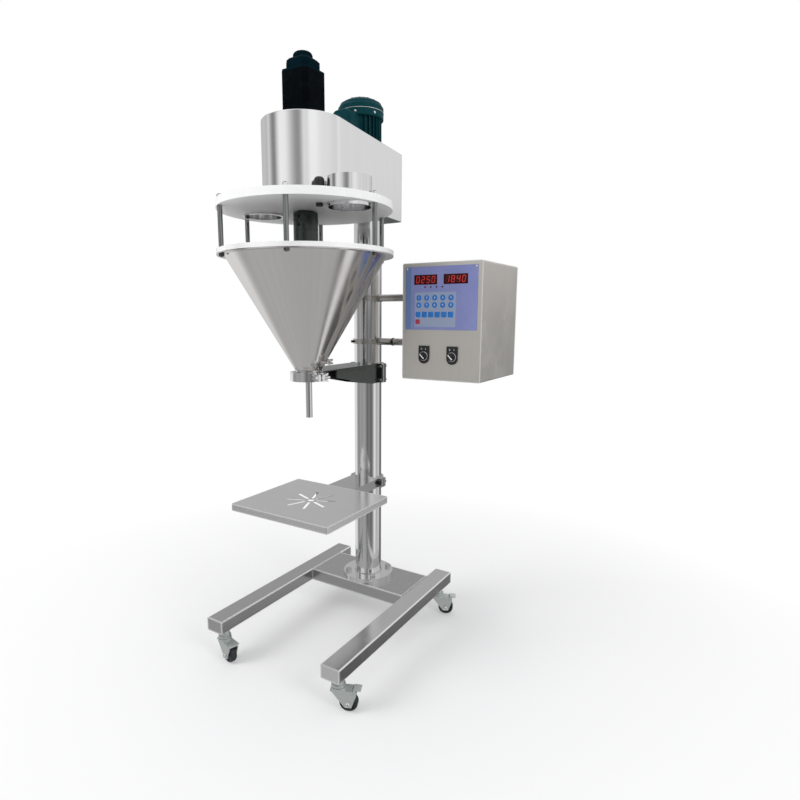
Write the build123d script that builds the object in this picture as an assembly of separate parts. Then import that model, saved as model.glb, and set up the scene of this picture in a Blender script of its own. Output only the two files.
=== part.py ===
from build123d import *
import math
import os

# Auger powder filler on a wheeled column stand, in millimetres, +Z up, front towards -Y.
# Everything is laid out about the column axis and moved to the middle of its footprint when saved.

# Clearances
RUNNING_GAP = 0.3
THREAD_GAP = 0.2
SEAT_GAP = 0.5

# Base: two long legs joined by a low box beam
LEG_WIDTH = 60.0
LEG_HEIGHT = 40.0
LEG_WALL = 2.5
LEG_LENGTH = 670.0
LEG_SPACING = 428.0
LEG_FRONT_REACH = 512.0
LEG_END_PLATE = 3.0
LEG_UNDERSIDE = 100.0
LEG_EDGE_RADIUS = 4.0
BEAM_DEPTH = 171.0
BEAM_BACK = 88.0
BEAM_WALL = 3.0

# Casters
CASTER_INSET = 38.0
CASTER_TRAIL = 28.0
WHEEL_RADIUS = 25.0
WHEEL_WIDTH = 20.0
AXLE_RADIUS = 4.0
STEM_RADIUS = 15.0
STEM_LENGTH = 25.0
KINGPIN_RADIUS = 5.0
SWIVEL_RADIUS = 20.0
SWIVEL_HEIGHT = 12.0
FORK_PLATE = 3.0
FORK_SIDE_GAP = 3.0
CROWN_THICK = 5.0
PEDAL_REACH = 62.0
PEDAL_WIDTH = 26.0
PEDAL_THICK = 3.0
PEDAL_PIN_RADIUS = 2.5
PEDAL_PIVOT_AHEAD = 16.0
PEDAL_PIVOT_DROP = 2.0
PEDAL_LIFT = 1.0
PEDAL_HEEL = 3.0
CROWN_OVERHANG = 10.0
SWIVEL_GROOVE = 3.0
SWIVEL_STEP = 1.0
FORK_FOOT_HALF = 9.0
FORK_HEEL = 4.0
AXLE_STICK_OUT = 3.0
PEDAL_PIN_STICK_OUT = 1.0
WHEEL_BOSS_WALL = 4.0
TREAD_THICK = 6.0
TREAD_EDGE = 2.0
WHEEL_DISH = 3.0
KINGPIN_GRIP = 10.0
CASTER_HEADINGS = {
    "front_left": -14.0,
    "front_right": 22.6,
    "back_left": 10.0,
    "back_right": 22.6,
}

# Column and its foot
COLUMN_DIAMETER = 89.0
COLUMN_WALL = 3.0
FLANGE_DIAMETER = 170.0
FLANGE_THICK = 15.0
FLANGE_BOLT_CIRCLE_RADIUS = 70.0
FLANGE_BOLT_RADIUS = 6.0
FLANGE_BOLT_HEAD = 8.0

# Work table and its sliding arm
TABLE_WIDTH = 350.0
TABLE_DEPTH = 304.0
TABLE_TOP = 494.0
TABLE_SHEET = 2.0
TABLE_FOLD = 20.0
TABLE_CORNER = 6.0
SLOT_COUNT = 8
SLOT_INNER = 16.0
SLOT_OUTER = 78.0
SLOT_WIDTH = 9.0
DRAIN_RADIUS = 10.0
ARM_WIDTH = 100.0
ARM_HEIGHT = 30.0
ARM_WALL = 4.0
ARM_OVERLAP = 64.0

# Split clamps round the column
CLAMP_WALL = 7.5
CLAMP_EAR = 12.0
CLAMP_EAR_THICK = 12.0
CLAMP_SPLIT = 2.0
CLAMP_BOLT_RADIUS = 3.5
CLAMP_BOLT_INSET = 9.0
CLAMP_HEAD_RADIUS = 5.5
CLAMP_HEAD_HEIGHT = 6.0

# Hopper, split down its middle into a front and a rear half
HOPPER_REACH = 312.0
RIM_RADIUS = 241.0
RIM_WIDTH = 20.0
RIM_THICK = 15.0
RIM_TOP = 1208.0
CONE_BOTTOM = 882.0
NECK_RADIUS = 38.0
HOPPER_WALL = 2.0
SEAM_STRIP_WIDTH = 10.0
SEAM_STRIP_THICK = 2.0
SEAM_SCREW_RADIUS = 2.0
SEAM_SCREW_HEAD_RADIUS = 3.8
SEAM_SCREW_HEAD = 3.0
SEAM_SCREW_COUNT = 5
SEAM_SCREW_INSET = 22.0
FERRULE_RADIUS = 45.5
FERRULE_THICK = 3.0
FERRULE_FACE = 863.5
GASKET_THICK = 2.0

# Seam latch beside the neck
LATCH_BOTTOM = 900.0
LATCH_HEIGHT = 14.0
LATCH_LENGTH = 34.0
LATCH_THICK = 4.0
LATCH_PIN_RADIUS = 2.0
LATCH_LOOP_RADIUS = 6.5
LATCH_WIRE_RADIUS = 1.3
LATCH_LOOP_AHEAD = 6.0

# Neck clamp with its wing nut
NECK_CLAMP_RADIUS = 52.0
NECK_CLAMP_HEIGHT = 25.0
NECK_CLAMP_TURN = -22.0
NECK_CLAMP_SPLIT = 4.0
NECK_EAR_REACH = 74.0
NECK_EAR_THICK = 8.0
NECK_BOLT_RADIUS = 4.0
NECK_BOLT_SETBACK = 8.0
NECK_CLAMP_LIP = 3.0
NECK_EAR_INSET = 3.0
NECK_HINGE_REACH = 8.0
NECK_HINGE_INSET = 5.0
NECK_EAR_ROOT = 4.0
NECK_BOLT_HEAD_WALL = 3.0
WING_SPAN = 13.0
WING_THICK = 3.0
WING_RISE = 3.0
WING_HUB_WALL = 3.0
WING_NUT_LENGTH = 12.0

# Filling nozzle
NOZZLE_RADIUS = 9.5
NOZZLE_BORE_RADIUS = 8.5
NOZZLE_TIP = 744.0

# Hopper bracket
BRACKET_TOP = 880.0
BRACKET_COLUMN_HEIGHT = 62.0
BRACKET_NECK_HEIGHT = 25.0
BRACKET_PLATE = 5.0
BRACKET_WIDTH = 100.0
BRACKET_NECK_REACH = 242.0
SADDLE_THICK = 3.5

# Lid and the six posts that carry it over the hopper
LID_RADIUS = 238.0
LID_THICK = 20.0
LID_GAP = 106.0
POST_COUNT = 6
POST_TURN = -2.5
POST_RADIUS = 6.5
POST_THREAD_RADIUS = 4.0
NUT_RADIUS = 7.5
NUT_HEIGHT = 6.5
THREAD_END = 2.0
SPOUT_RADIUS = 57.0
SPOUT_WALL = 2.5
SPOUT_SHOULDER = 1.5
SPOUT_HEIGHT = 42.0
SPOUT_BELOW = 10.0
SPOUT_PLACE_RADIUS = 174.0
SPOUT_TURN = -11.5
PLUG_RADIUS = 55.0
PLUG_FLANGE = 5.0
PLUG_FLANGE_THICK = 4.0
PLUG_TOP_THICK = 4.0
PLUG_WALL = 6.0
PLUG_PLACE_RADIUS = 140.0
PLUG_TURN = 186.0
SENSOR_RADIUS = 13.0
SENSOR_HEIGHT = 43.0
SENSOR_DOME = 9.0
SENSOR_PROBE_RADIUS = 9.0
SENSOR_PROBE_LENGTH = 8.0
SENSOR_PLACE_RADIUS = 136.0
SENSOR_TURN = -36.0

# Drive head
HEAD_HEIGHT = 206.0
HEAD_FRONT_RADIUS = 114.0
HEAD_BACK = 98.0
HEAD_BACK_HALF_WIDTH = 73.0
HEAD_BACK_CORNER = 15.0
HEAD_SHEET = 2.0
HEAD_EDGE_RADIUS = 3.0
HEAD_PLATE_THICK = 12.0
SOCKET_WALL = 9.0
SOCKET_DEPTH = 56.0
SOCKET_CAP = 6.0
MOTOR_PLATE_THICK = 10.0
PILLAR_RADIUS = 8.0
PILLAR_FRONT_SPREAD = 80.0
PILLAR_FRONT_REACH = 220.0
PILLAR_BACK_SPREAD = 57.0
PILLAR_BACK_REACH = 62.0
BEARING_BLOCK_RADIUS = 46.0
BEARING_BLOCK_HEIGHT = 46.0
BEARING_RADIUS = 36.0
BEARING_WIDTH = 14.0
BEARING_SHOULDER = 4.0

# Agitator: hollow sleeve, blades, and its belt drive
SLEEVE_RADIUS = 22.0
SLEEVE_BORE_RADIUS = 13.0
SLEEVE_TOP_CLEARANCE = 8.0
SLEEVE_HOLE_GAP = 2.0
HUB_RADIUS = 34.0
HUB_UPPER_LENGTH = 46.0
HUB_LOWER_LENGTH = 78.0
HUB_GROOVE = 2.0
HUB_LID_GAP = 4.0
HUB_SCREW_RADIUS = 5.0
HUB_SCREW_HEAD = 4.0
HUB_SCREW_PITCH = 20.0
BLADE_THICK = 8.0
BLADE_WIDTH = 16.0
BLADE_WALL_GAP = 12.0
BLADE_TIP_HEIGHT = 915.0
BLADE_TIP_WIDTH = 9.5
PULLEY_WIDTH = 24.0
PULLEY_LIFT = 9.0
PULLEY_HUB_RADIUS = 32.0
DRIVEN_PULLEY_RADIUS = 75.0
DRIVE_PULLEY_RADIUS = 35.0
PULLEY_GROOVE_DEPTH = 8.0
BELT_WIDTH = 10.0
BELT_THICK = 7.0

# Agitator motor, behind the auger motor
AGITATOR_MOTOR_SETBACK = 38.5
AGITATOR_FLANGE_RADIUS = 66.0
AGITATOR_FLANGE_THICK = 12.0
AGITATOR_BODY_RADIUS = 54.0
AGITATOR_FIN_RADIUS = 63.0
AGITATOR_FIN_COUNT = 28
AGITATOR_FIN_THICK = 2.5
AGITATOR_BODY_HEIGHT = 65.0
COWL_RADIUS = 69.0
COWL_HEIGHT = 36.0
COWL_DOME = 21.0
COWL_LIP = 2.0
AGITATOR_SHAFT_RADIUS = 9.0
AGITATOR_SHAFT_SOCKET = 40.0
TERMINAL_WIDTH = 64.0
TERMINAL_DEPTH = 44.0
TERMINAL_BOTTOM_LIFT = 22.0
TERMINAL_HEIGHT = 62.0
TERMINAL_ROUND = 18.0
TERMINAL_EDGE = 6.0

# Auger motor
AUGER_MOTOR_WIDTH = 90.0
AUGER_MOTOR_HEIGHT = 126.0
AUGER_MOTOR_CHAMFER = 12.0
AUGER_FLANGE_THICK = 12.0
AUGER_FLANGE_GROOVE = 3.0
ENCODER_WIDTH = 75.0
ENCODER_HEIGHT = 29.0
ENCODER_CHAMFER = 14.0
ENCODER_SLOPE = 7.0
KNOB_RADIUS = 26.0
KNOB_HEIGHT = 18.0
KNOB_DOME = 9.0
AUGER_SHAFT_SOCKET = 40.0

# Auger
AUGER_DRIVE_RADIUS = 8.0
COUPLING_RADIUS = 20.0
COUPLING_LENGTH = 60.0
COUPLING_GROOVE = 2.0
AUGER_SHAFT_RADIUS = 10.0
AUGER_CORE_RADIUS = 4.5
AUGER_FLIGHT_TOP = 960.0
AUGER_PITCH = 18.0
AUGER_FLIGHT_THICK = 1.6
AUGER_TAPER = 40.0
AUGER_TIP_SETBACK = 3.0

# Control box on two arms
BOX_WIDTH = 241.0
BOX_DEPTH = 274.0
BOX_HEIGHT = 326.0
BOX_REACH = 208.0
BOX_BOTTOM = 853.0
BOX_SHEET = 2.0
BOX_EDGE_RADIUS = 5.0
BOX_COVER_SCREW_INSET = 12.0
BOX_SCREW_RADIUS = 3.0
BOX_SCREW_HEAD_RADIUS = 5.0
ARM_TUBE_RADIUS = 11.0
ARM_TUBE_WALL = 2.0
ARM_UPPER_HEIGHT = 1089.0
ARM_LOWER_HEIGHT = 951.0
ARM_RING_WALL = 5.2
ARM_RING_HEIGHT = 16.0
ARM_PAD_RADIUS = 18.0
ARM_PAD_THICK = 4.0
SET_SCREW_RADIUS = 4.0
SET_SCREW_LENGTH = 14.0
SET_SCREW_TURN = -125.0
PANEL_LEFT = 10.0
PANEL_WIDTH = 218.0
PANEL_BOTTOM = 142.0
PANEL_HEIGHT = 173.0
PANEL_THICK = 1.6
DISPLAY_WIDTH = 72.0
DISPLAY_HEIGHT = 27.0
DISPLAY_DROP = 49.0
DISPLAY_LEFTS = (27.0, 118.0)
DISPLAY_THICK = 1.0
SELECTOR_CENTRES = (71.0, 158.0)
SELECTOR_HEIGHT = 72.0
SELECTOR_PLATE_WIDTH = 32.0
SELECTOR_PLATE_HEIGHT = 50.0
SELECTOR_PLATE_THICK = 4.0
SELECTOR_KNOB_DROP = 4.0
SELECTOR_KNOB_RADIUS = 10.5
SELECTOR_KNOB_DEPTH = 9.0
SELECTOR_GRIP_WIDTH = 6.0
SELECTOR_GRIP_DEPTH = 12.0
SELECTOR_GRIP_LENGTH = 19.0
SELECTOR_SHAFT_RADIUS = 4.0
SELECTOR_SHAFT_LENGTH = 20.0
SELECTOR_REST_TURN = 45.0

# Worked-out heights and places
COLUMN_RADIUS = COLUMN_DIAMETER / 2
CLAMP_BORE = COLUMN_RADIUS + RUNNING_GAP
LEG_TOP = LEG_UNDERSIDE + LEG_HEIGHT
LEG_BACK = LEG_LENGTH - LEG_FRONT_REACH
LEG_INNER = LEG_SPACING / 2 - LEG_WIDTH / 2
LEG_OUTER = LEG_SPACING / 2 + LEG_WIDTH / 2
STEM_BOTTOM = LEG_UNDERSIDE - STEM_LENGTH
SWIVEL_TOP = STEM_BOTTOM - RUNNING_GAP
CROWN_TOP = SWIVEL_TOP - SWIVEL_HEIGHT
CROWN_BOTTOM = CROWN_TOP - CROWN_THICK
FORK_INNER = WHEEL_WIDTH / 2 + FORK_SIDE_GAP
FORK_OUTER = FORK_INNER + FORK_PLATE
PEDAL_PIVOT_X = CASTER_TRAIL + PEDAL_PIVOT_AHEAD
PEDAL_PIVOT_Z = CROWN_BOTTOM - PEDAL_PIVOT_DROP
BRACKET_BOTTOM = BRACKET_TOP - BRACKET_COLUMN_HEIGHT
RIM_BOTTOM = RIM_TOP - RIM_THICK
CONE_TOP_RADIUS = RIM_RADIUS - RIM_WIDTH
CONE_SLOPE = (CONE_TOP_RADIUS - NECK_RADIUS) / (RIM_BOTTOM - CONE_BOTTOM)
CONE_WALL_ACROSS = HOPPER_WALL * math.hypot(1.0, CONE_SLOPE)
POST_CIRCLE = RIM_RADIUS - RIM_WIDTH / 2
LID_BOTTOM = RIM_TOP + LID_GAP
LID_TOP = LID_BOTTOM + LID_THICK
HEAD_TOP = LID_TOP + HEAD_HEIGHT
HEAD_PLATE_TOP = LID_TOP + HEAD_PLATE_THICK
COLUMN_TOP = HEAD_PLATE_TOP + SOCKET_DEPTH - SOCKET_CAP
MOTOR_PLATE_TOP = HEAD_TOP - HEAD_SHEET
MOTOR_PLATE_BOTTOM = MOTOR_PLATE_TOP - MOTOR_PLATE_THICK
BEARING_BLOCK_TOP = HEAD_PLATE_TOP + BEARING_BLOCK_HEIGHT
PULLEY_BOTTOM = max(BEARING_BLOCK_TOP, HEAD_PLATE_TOP + SOCKET_DEPTH) + PULLEY_LIFT
PULLEY_TOP = PULLEY_BOTTOM + PULLEY_WIDTH
PULLEY_MIDDLE = PULLEY_BOTTOM + PULLEY_WIDTH / 2
HUB_TOP = LID_BOTTOM - HUB_LID_GAP
HUB_SPLIT = HUB_TOP - HUB_UPPER_LENGTH
HUB_BOTTOM = HUB_SPLIT - HUB_LOWER_LENGTH
SLEEVE_TOP = PULLEY_TOP + SLEEVE_TOP_CLEARANCE
COUPLING_BOTTOM = SLEEVE_TOP + SLEEVE_TOP_CLEARANCE
COUPLING_TOP = COUPLING_BOTTOM + COUPLING_LENGTH
AUGER_MOTOR_TOP = HEAD_TOP + AUGER_MOTOR_HEIGHT
ENCODER_TOP = AUGER_MOTOR_TOP + ENCODER_HEIGHT
NECK_CLAMP_BOTTOM = FERRULE_FACE - NECK_CLAMP_HEIGHT / 2
NECK_CLAMP_TOP = FERRULE_FACE + NECK_CLAMP_HEIGHT / 2
TABLE_BACK = HOPPER_REACH - TABLE_DEPTH / 2
AUGER_TIP = NOZZLE_TIP + AUGER_TIP_SETBACK
AUGER_FLIGHT_RADIUS = NOZZLE_BORE_RADIUS - RUNNING_GAP
BOX_FRONT = -BOX_DEPTH / 2
BOX_RIGHT = BOX_REACH + BOX_WIDTH
BOX_TOP = BOX_BOTTOM + BOX_HEIGHT
AGITATOR_Y = -AGITATOR_MOTOR_SETBACK
HOPPER_Y = -HOPPER_REACH

# The column's place, with the origin under the middle of the whole machine
COLUMN_X = (LEG_OUTER - BOX_RIGHT) / 2
COLUMN_Y = (HOPPER_REACH + RIM_RADIUS - LEG_BACK) / 2

BOTTOM = (Align.CENTER, Align.CENTER, Align.MIN)


def block(x0, x1, y0, y1, z0, z1):
    """A box between two corners."""
    return Pos((x0 + x1) / 2, (y0 + y1) / 2, (z0 + z1) / 2) * Box(x1 - x0, y1 - y0, z1 - z0)


def disc(radius, z0, z1, x=0.0, y=0.0):
    """An upright cylinder between two heights."""
    return Pos(x, y, z0) * Cylinder(radius, z1 - z0, align=BOTTOM)


def ring(outer, inner, z0, z1, x=0.0, y=0.0):
    """An upright tube between two heights."""
    return disc(outer, z0, z1, x, y) - disc(inner, z0, z1, x, y)


def rod(start, direction, radius, length):
    """A cylinder from a point along a direction."""
    return Plane(origin=start, z_dir=direction) * Cylinder(radius, length, align=BOTTOM)


def hexagon(radius, z0, z1, x=0.0, y=0.0):
    """An upright hexagonal bar, radius to its corners."""
    return Pos(x, y, z0) * extrude(RegularPolygon(radius, 6), z1 - z0)


def turned(points, arc=360.0):
    """A profile of (radius, height) points turned about the Z axis."""
    outline = Polyline(*[(r, 0, z) for r, z in points], close=True)
    return revolve(make_face(outline), Axis.Z, arc)


def plate_yz(points, x0, x1):
    """An outline of (y, z) points given a thickness along X."""
    outline = Polyline(*[(x0, y, z) for y, z in points], close=True)
    return extrude(make_face(outline), x1 - x0, dir=(1, 0, 0))


def at_hopper(shape):
    """Moves a shape made about the Z axis to the hopper's axis."""
    return Pos(0, HOPPER_Y, 0) * shape


def polar(radius, degrees):
    """The (x, y) of a point round an axis."""
    return radius * math.cos(math.radians(degrees)), radius * math.sin(math.radians(degrees))


def cone_radius(height):
    """The hopper cone's outer radius at a height."""
    return NECK_RADIUS + (height - CONE_BOTTOM) * CONE_SLOPE


def base_leg(side):
    """One rectangular leg tube with rounded edges and welded end plates, drilled for its casters."""
    x = side * LEG_SPACING / 2
    height = LEG_UNDERSIDE + LEG_HEIGHT / 2
    outer = RectangleRounded(LEG_WIDTH, LEG_HEIGHT, LEG_EDGE_RADIUS)
    inner_radius = max(LEG_EDGE_RADIUS - LEG_WALL, LEG_WALL / 5)
    inner = RectangleRounded(LEG_WIDTH - 2 * LEG_WALL, LEG_HEIGHT - 2 * LEG_WALL, inner_radius)
    leg = Pos(x, -LEG_FRONT_REACH, height) * Rot(-90, 0, 0) * extrude(outer, LEG_LENGTH)
    hollow = extrude(inner, LEG_LENGTH - 2 * LEG_END_PLATE)
    leg -= Pos(x, -LEG_FRONT_REACH + LEG_END_PLATE, height) * Rot(-90, 0, 0) * hollow
    for place in caster_places().values():
        leg -= disc(KINGPIN_RADIUS + THREAD_GAP, LEG_UNDERSIDE, LEG_UNDERSIDE + LEG_WALL, *place)
    return leg


def flange_bolt_places():
    """The foot flange's four bolt centres."""
    return [polar(FLANGE_BOLT_CIRCLE_RADIUS, 45 + 90 * i) for i in range(4)]


def base_cross_beam():
    """The flush box beam that joins the legs and carries the column."""
    front = BEAM_BACK - BEAM_DEPTH
    beam = block(-LEG_INNER, LEG_INNER, front, BEAM_BACK, LEG_UNDERSIDE, LEG_TOP)
    beam -= block(-LEG_INNER, LEG_INNER, front + BEAM_WALL, BEAM_BACK - BEAM_WALL,
                  LEG_UNDERSIDE + BEAM_WALL, LEG_TOP - BEAM_WALL)
    for x, y in flange_bolt_places():
        beam -= disc(FLANGE_BOLT_RADIUS + THREAD_GAP, LEG_TOP - BEAM_WALL, LEG_TOP, x, y)
    return beam


def column_flange():
    """The round foot plate that the column is welded into."""
    flange = ring(FLANGE_DIAMETER / 2, COLUMN_RADIUS + THREAD_GAP, LEG_TOP, LEG_TOP + FLANGE_THICK)
    for x, y in flange_bolt_places():
        flange -= disc(FLANGE_BOLT_RADIUS + THREAD_GAP, LEG_TOP, LEG_TOP + FLANGE_THICK, x, y)
    return flange


def flange_bolts():
    """Four hexagon bolts through the foot flange into the beam."""
    top = LEG_TOP + FLANGE_THICK
    bolts = []
    for x, y in flange_bolt_places():
        head = hexagon(FLANGE_BOLT_RADIUS * 1.8, top, top + FLANGE_BOLT_HEAD, x, y)
        bolts.append(head + disc(FLANGE_BOLT_RADIUS, LEG_TOP - 2 * BEAM_WALL, top, x, y))
    return bolts


def caster_places():
    """Each caster's swivel centre, by its corner's name."""
    x = LEG_SPACING / 2
    front = -LEG_FRONT_REACH + CASTER_INSET
    back = LEG_BACK - CASTER_INSET
    return {
        "front_left": (-x, front),
        "front_right": (x, front),
        "back_left": (-x, back),
        "back_right": (x, back),
    }


def caster_stems():
    """The four collars under the legs, each with its kingpin."""
    stems = []
    for x, y in caster_places().values():
        collar = disc(STEM_RADIUS, STEM_BOTTOM, LEG_UNDERSIDE, x, y)
        stems.append(collar + disc(KINGPIN_RADIUS, CROWN_BOTTOM, LEG_UNDERSIDE + KINGPIN_GRIP, x, y))
    return Compound(stems)


def caster_fork():
    """The swivel head, crown, two fork cheeks and the axle, trailing towards +X."""
    groove = SWIVEL_RADIUS - SWIVEL_GROOVE
    cap = SWIVEL_RADIUS - SWIVEL_STEP
    middle = (SWIVEL_TOP + CROWN_TOP) / 2
    fork = turned([(KINGPIN_RADIUS + RUNNING_GAP, CROWN_TOP), (SWIVEL_RADIUS, CROWN_TOP),
                   (SWIVEL_RADIUS, middle - SWIVEL_STEP), (groove, middle - SWIVEL_STEP),
                   (groove, middle + SWIVEL_STEP), (cap, middle + SWIVEL_STEP), (cap, SWIVEL_TOP),
                   (KINGPIN_RADIUS + RUNNING_GAP, SWIVEL_TOP)])
    crown_end = CASTER_TRAIL + CROWN_OVERHANG
    heel = FORK_HEEL - SWIVEL_RADIUS
    crown = block(-SWIVEL_RADIUS, crown_end, -FORK_OUTER, FORK_OUTER, CROWN_BOTTOM, CROWN_TOP)
    fork += crown - disc(KINGPIN_RADIUS + RUNNING_GAP, CROWN_BOTTOM, CROWN_TOP)
    foot = WHEEL_RADIUS - 2.5 * AXLE_RADIUS
    pivot_end = PEDAL_PIVOT_X + 2.5 * PEDAL_PIN_RADIUS
    outline = [(heel, CROWN_BOTTOM), (CASTER_TRAIL - FORK_FOOT_HALF, foot),
               (CASTER_TRAIL + FORK_FOOT_HALF, foot),
               (pivot_end, PEDAL_PIVOT_Z - 2 * PEDAL_PIN_RADIUS), (pivot_end, CROWN_BOTTOM + FORK_PLATE),
               (crown_end, CROWN_TOP), (heel, CROWN_TOP)]
    for y in (-FORK_OUTER, FORK_INNER):
        face = make_face(Polyline(*[(x, y, z) for x, z in outline], close=True))
        fork += extrude(face, FORK_PLATE, dir=(0, 1, 0))
    span = 2 * (FORK_OUTER + AXLE_STICK_OUT)
    fork += rod((CASTER_TRAIL, -span / 2, WHEEL_RADIUS), (0, 1, 0), AXLE_RADIUS, span)
    pin_hole = PEDAL_PIN_RADIUS + RUNNING_GAP
    return fork - rod((PEDAL_PIVOT_X, -span / 2, PEDAL_PIVOT_Z), (0, 1, 0), pin_hole, span)


def caster_wheel():
    """A moulded wheel with a crowned tread, dished sides and hub bosses."""
    half = WHEEL_WIDTH / 2
    bore = AXLE_RADIUS + RUNNING_GAP
    boss = AXLE_RADIUS + WHEEL_BOSS_WALL
    tread = WHEEL_RADIUS - TREAD_THICK
    dish = half - WHEEL_DISH
    shoulder = WHEEL_RADIUS - TREAD_EDGE
    wheel = turned([(bore, -half), (boss, -half), (boss, -dish), (tread, -dish),
                    (tread, -half), (shoulder, -half), (WHEEL_RADIUS, -dish),
                    (WHEEL_RADIUS, dish), (shoulder, half), (tread, half),
                    (tread, dish), (boss, dish), (boss, half), (bore, half)])
    return Pos(CASTER_TRAIL, 0, WHEEL_RADIUS) * Rot(90, 0, 0) * wheel


def caster_pedal():
    """The brake pedal: a tread plate on two lugs that turn on a cross pin."""
    half = PEDAL_WIDTH / 2
    tread_bottom = CROWN_TOP + RUNNING_GAP + PEDAL_LIFT
    start = PEDAL_PIVOT_X - PEDAL_HEEL
    pedal = block(start, PEDAL_REACH, -half, half, tread_bottom, tread_bottom + PEDAL_THICK)
    lug_half = FORK_INNER - RUNNING_GAP
    lug_reach = 2 * PEDAL_PIN_RADIUS
    pedal += block(start, PEDAL_PIVOT_X + lug_reach, -lug_half, lug_half,
                   PEDAL_PIVOT_Z - lug_reach / 2, tread_bottom)
    pin = 2 * (FORK_OUTER + PEDAL_PIN_STICK_OUT)
    return pedal + rod((PEDAL_PIVOT_X, -pin / 2, PEDAL_PIVOT_Z), (0, 1, 0), PEDAL_PIN_RADIUS, pin)


def placed_on_caster(shape, corner):
    """Turns a caster piece to its heading and moves it under its leg."""
    x, y = caster_places()[corner]
    return Pos(x, y, 0) * Rot(0, 0, CASTER_HEADINGS[corner]) * shape


def column_tube():
    """The polished round column."""
    return ring(COLUMN_RADIUS, COLUMN_RADIUS - COLUMN_WALL, LEG_TOP, COLUMN_TOP)


def clamp_bolt_x():
    """How far each clamp bolt stands from the column's axis."""
    return BRACKET_WIDTH / 2 + CLAMP_EAR / 2


def clamp_ears(z0, z1, y0, y1):
    """A pair of ears beside the column, drilled by clamp_bolt_holes."""
    inner = BRACKET_WIDTH / 2
    outer = inner + CLAMP_EAR
    return block(-outer, -inner, y0, y1, z0, z1) + block(inner, outer, y0, y1, z0, z1)


def clamp_bolt_holes(heights):
    """Cutters for the bolts that draw a clamp's halves together."""
    length = 2 * CLAMP_EAR_THICK + CLAMP_SPLIT
    holes = Part()
    for side in (-1, 1):
        for z in heights:
            start = (side * clamp_bolt_x(), -length / 2, z)
            holes += rod(start, (0, 1, 0), CLAMP_BOLT_RADIUS + THREAD_GAP, length)
    return holes


def clamp_cap(z0, z1, heights):
    """The rear half of a column clamp."""
    cap = ring(CLAMP_BORE + CLAMP_WALL, CLAMP_BORE, z0, z1)
    reach = CLAMP_BORE + CLAMP_WALL
    cap -= block(-reach, reach, -reach, CLAMP_SPLIT / 2, z0, z1)
    back = CLAMP_SPLIT / 2 + CLAMP_EAR_THICK
    ears = clamp_ears(z0, z1, CLAMP_SPLIT / 2, back)
    cap += ears + block(-BRACKET_WIDTH / 2, BRACKET_WIDTH / 2, CLAMP_SPLIT / 2, back, z0, z1)
    return cap - disc(CLAMP_BORE, z0, z1) - clamp_bolt_holes(heights)


def clamp_bolts(heights):
    """Socket-head bolts along Y with a nut behind each."""
    front = -CLAMP_SPLIT / 2 - CLAMP_EAR_THICK
    grip = 2 * CLAMP_EAR_THICK + CLAMP_SPLIT
    bolts = []
    for side in (-1, 1):
        for z in heights:
            x = side * clamp_bolt_x()
            head = rod((x, front - CLAMP_HEAD_HEIGHT, z), (0, 1, 0), CLAMP_HEAD_RADIUS, CLAMP_HEAD_HEIGHT)
            shank = rod((x, front, z), (0, 1, 0), CLAMP_BOLT_RADIUS, grip)
            nut = Plane(origin=(x, front + grip, z), z_dir=(0, 1, 0)) * extrude(
                RegularPolygon(CLAMP_HEAD_RADIUS, 6), CLAMP_HEAD_HEIGHT)
            bolts.append(head + shank + nut)
    return bolts


def table_bolt_heights():
    """One bolt each side at the middle of the table's clamp."""
    return [TABLE_TOP - ARM_HEIGHT / 2]


def bracket_bolt_heights():
    """Two bolts each side of the hopper bracket's clamp."""
    return [BRACKET_BOTTOM + CLAMP_BOLT_INSET, BRACKET_TOP - CLAMP_BOLT_INSET]


def work_table():
    """A folded sheet tray with a star of drain slots under the nozzle."""
    outer = extrude(RectangleRounded(TABLE_WIDTH, TABLE_DEPTH, TABLE_CORNER), TABLE_FOLD)
    inner_width = TABLE_WIDTH - 2 * TABLE_SHEET
    inner_depth = TABLE_DEPTH - 2 * TABLE_SHEET
    inner_corner = TABLE_CORNER - TABLE_SHEET
    inner = extrude(RectangleRounded(inner_width, inner_depth, inner_corner), TABLE_FOLD - TABLE_SHEET)
    tray = outer - inner - disc(DRAIN_RADIUS, 0, TABLE_FOLD)
    slot_length = SLOT_OUTER - SLOT_INNER
    slot = extrude(SlotOverall(slot_length, SLOT_WIDTH), TABLE_FOLD)
    slot = Pos((SLOT_INNER + SLOT_OUTER) / 2, 0, 0) * slot
    for i in range(SLOT_COUNT):
        tray -= Rot(0, 0, (i + 0.5) * 360 / SLOT_COUNT) * slot
    notch = ARM_WIDTH / 2 + SEAT_GAP
    back = TABLE_DEPTH / 2
    tray -= block(-notch, notch, back - TABLE_SHEET, back, 0, TABLE_FOLD - TABLE_SHEET)
    return Pos(0, HOPPER_Y, TABLE_TOP - TABLE_FOLD) * tray


def table_arm():
    """The channel under the table's back edge, ending in the front half of its column clamp."""
    half = ARM_WIDTH / 2
    bottom = TABLE_TOP - ARM_HEIGHT
    split = -CLAMP_SPLIT / 2
    seat = TABLE_TOP - TABLE_SHEET
    front = -TABLE_BACK - ARM_OVERLAP
    clamp_front = -CLAMP_BORE - CLAMP_WALL
    arm = block(-half, half, -TABLE_BACK + RUNNING_GAP, split, bottom, TABLE_TOP)
    arm += block(-half, half, front, -TABLE_BACK + RUNNING_GAP, bottom, seat)
    arm -= block(-half + ARM_WALL, half - ARM_WALL, front + ARM_WALL, clamp_front, bottom, seat - ARM_WALL)
    arm += clamp_ears(bottom, TABLE_TOP, split - CLAMP_EAR_THICK, split)
    return arm - disc(CLAMP_BORE, bottom, TABLE_TOP) - clamp_bolt_holes(table_bolt_heights())


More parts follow.
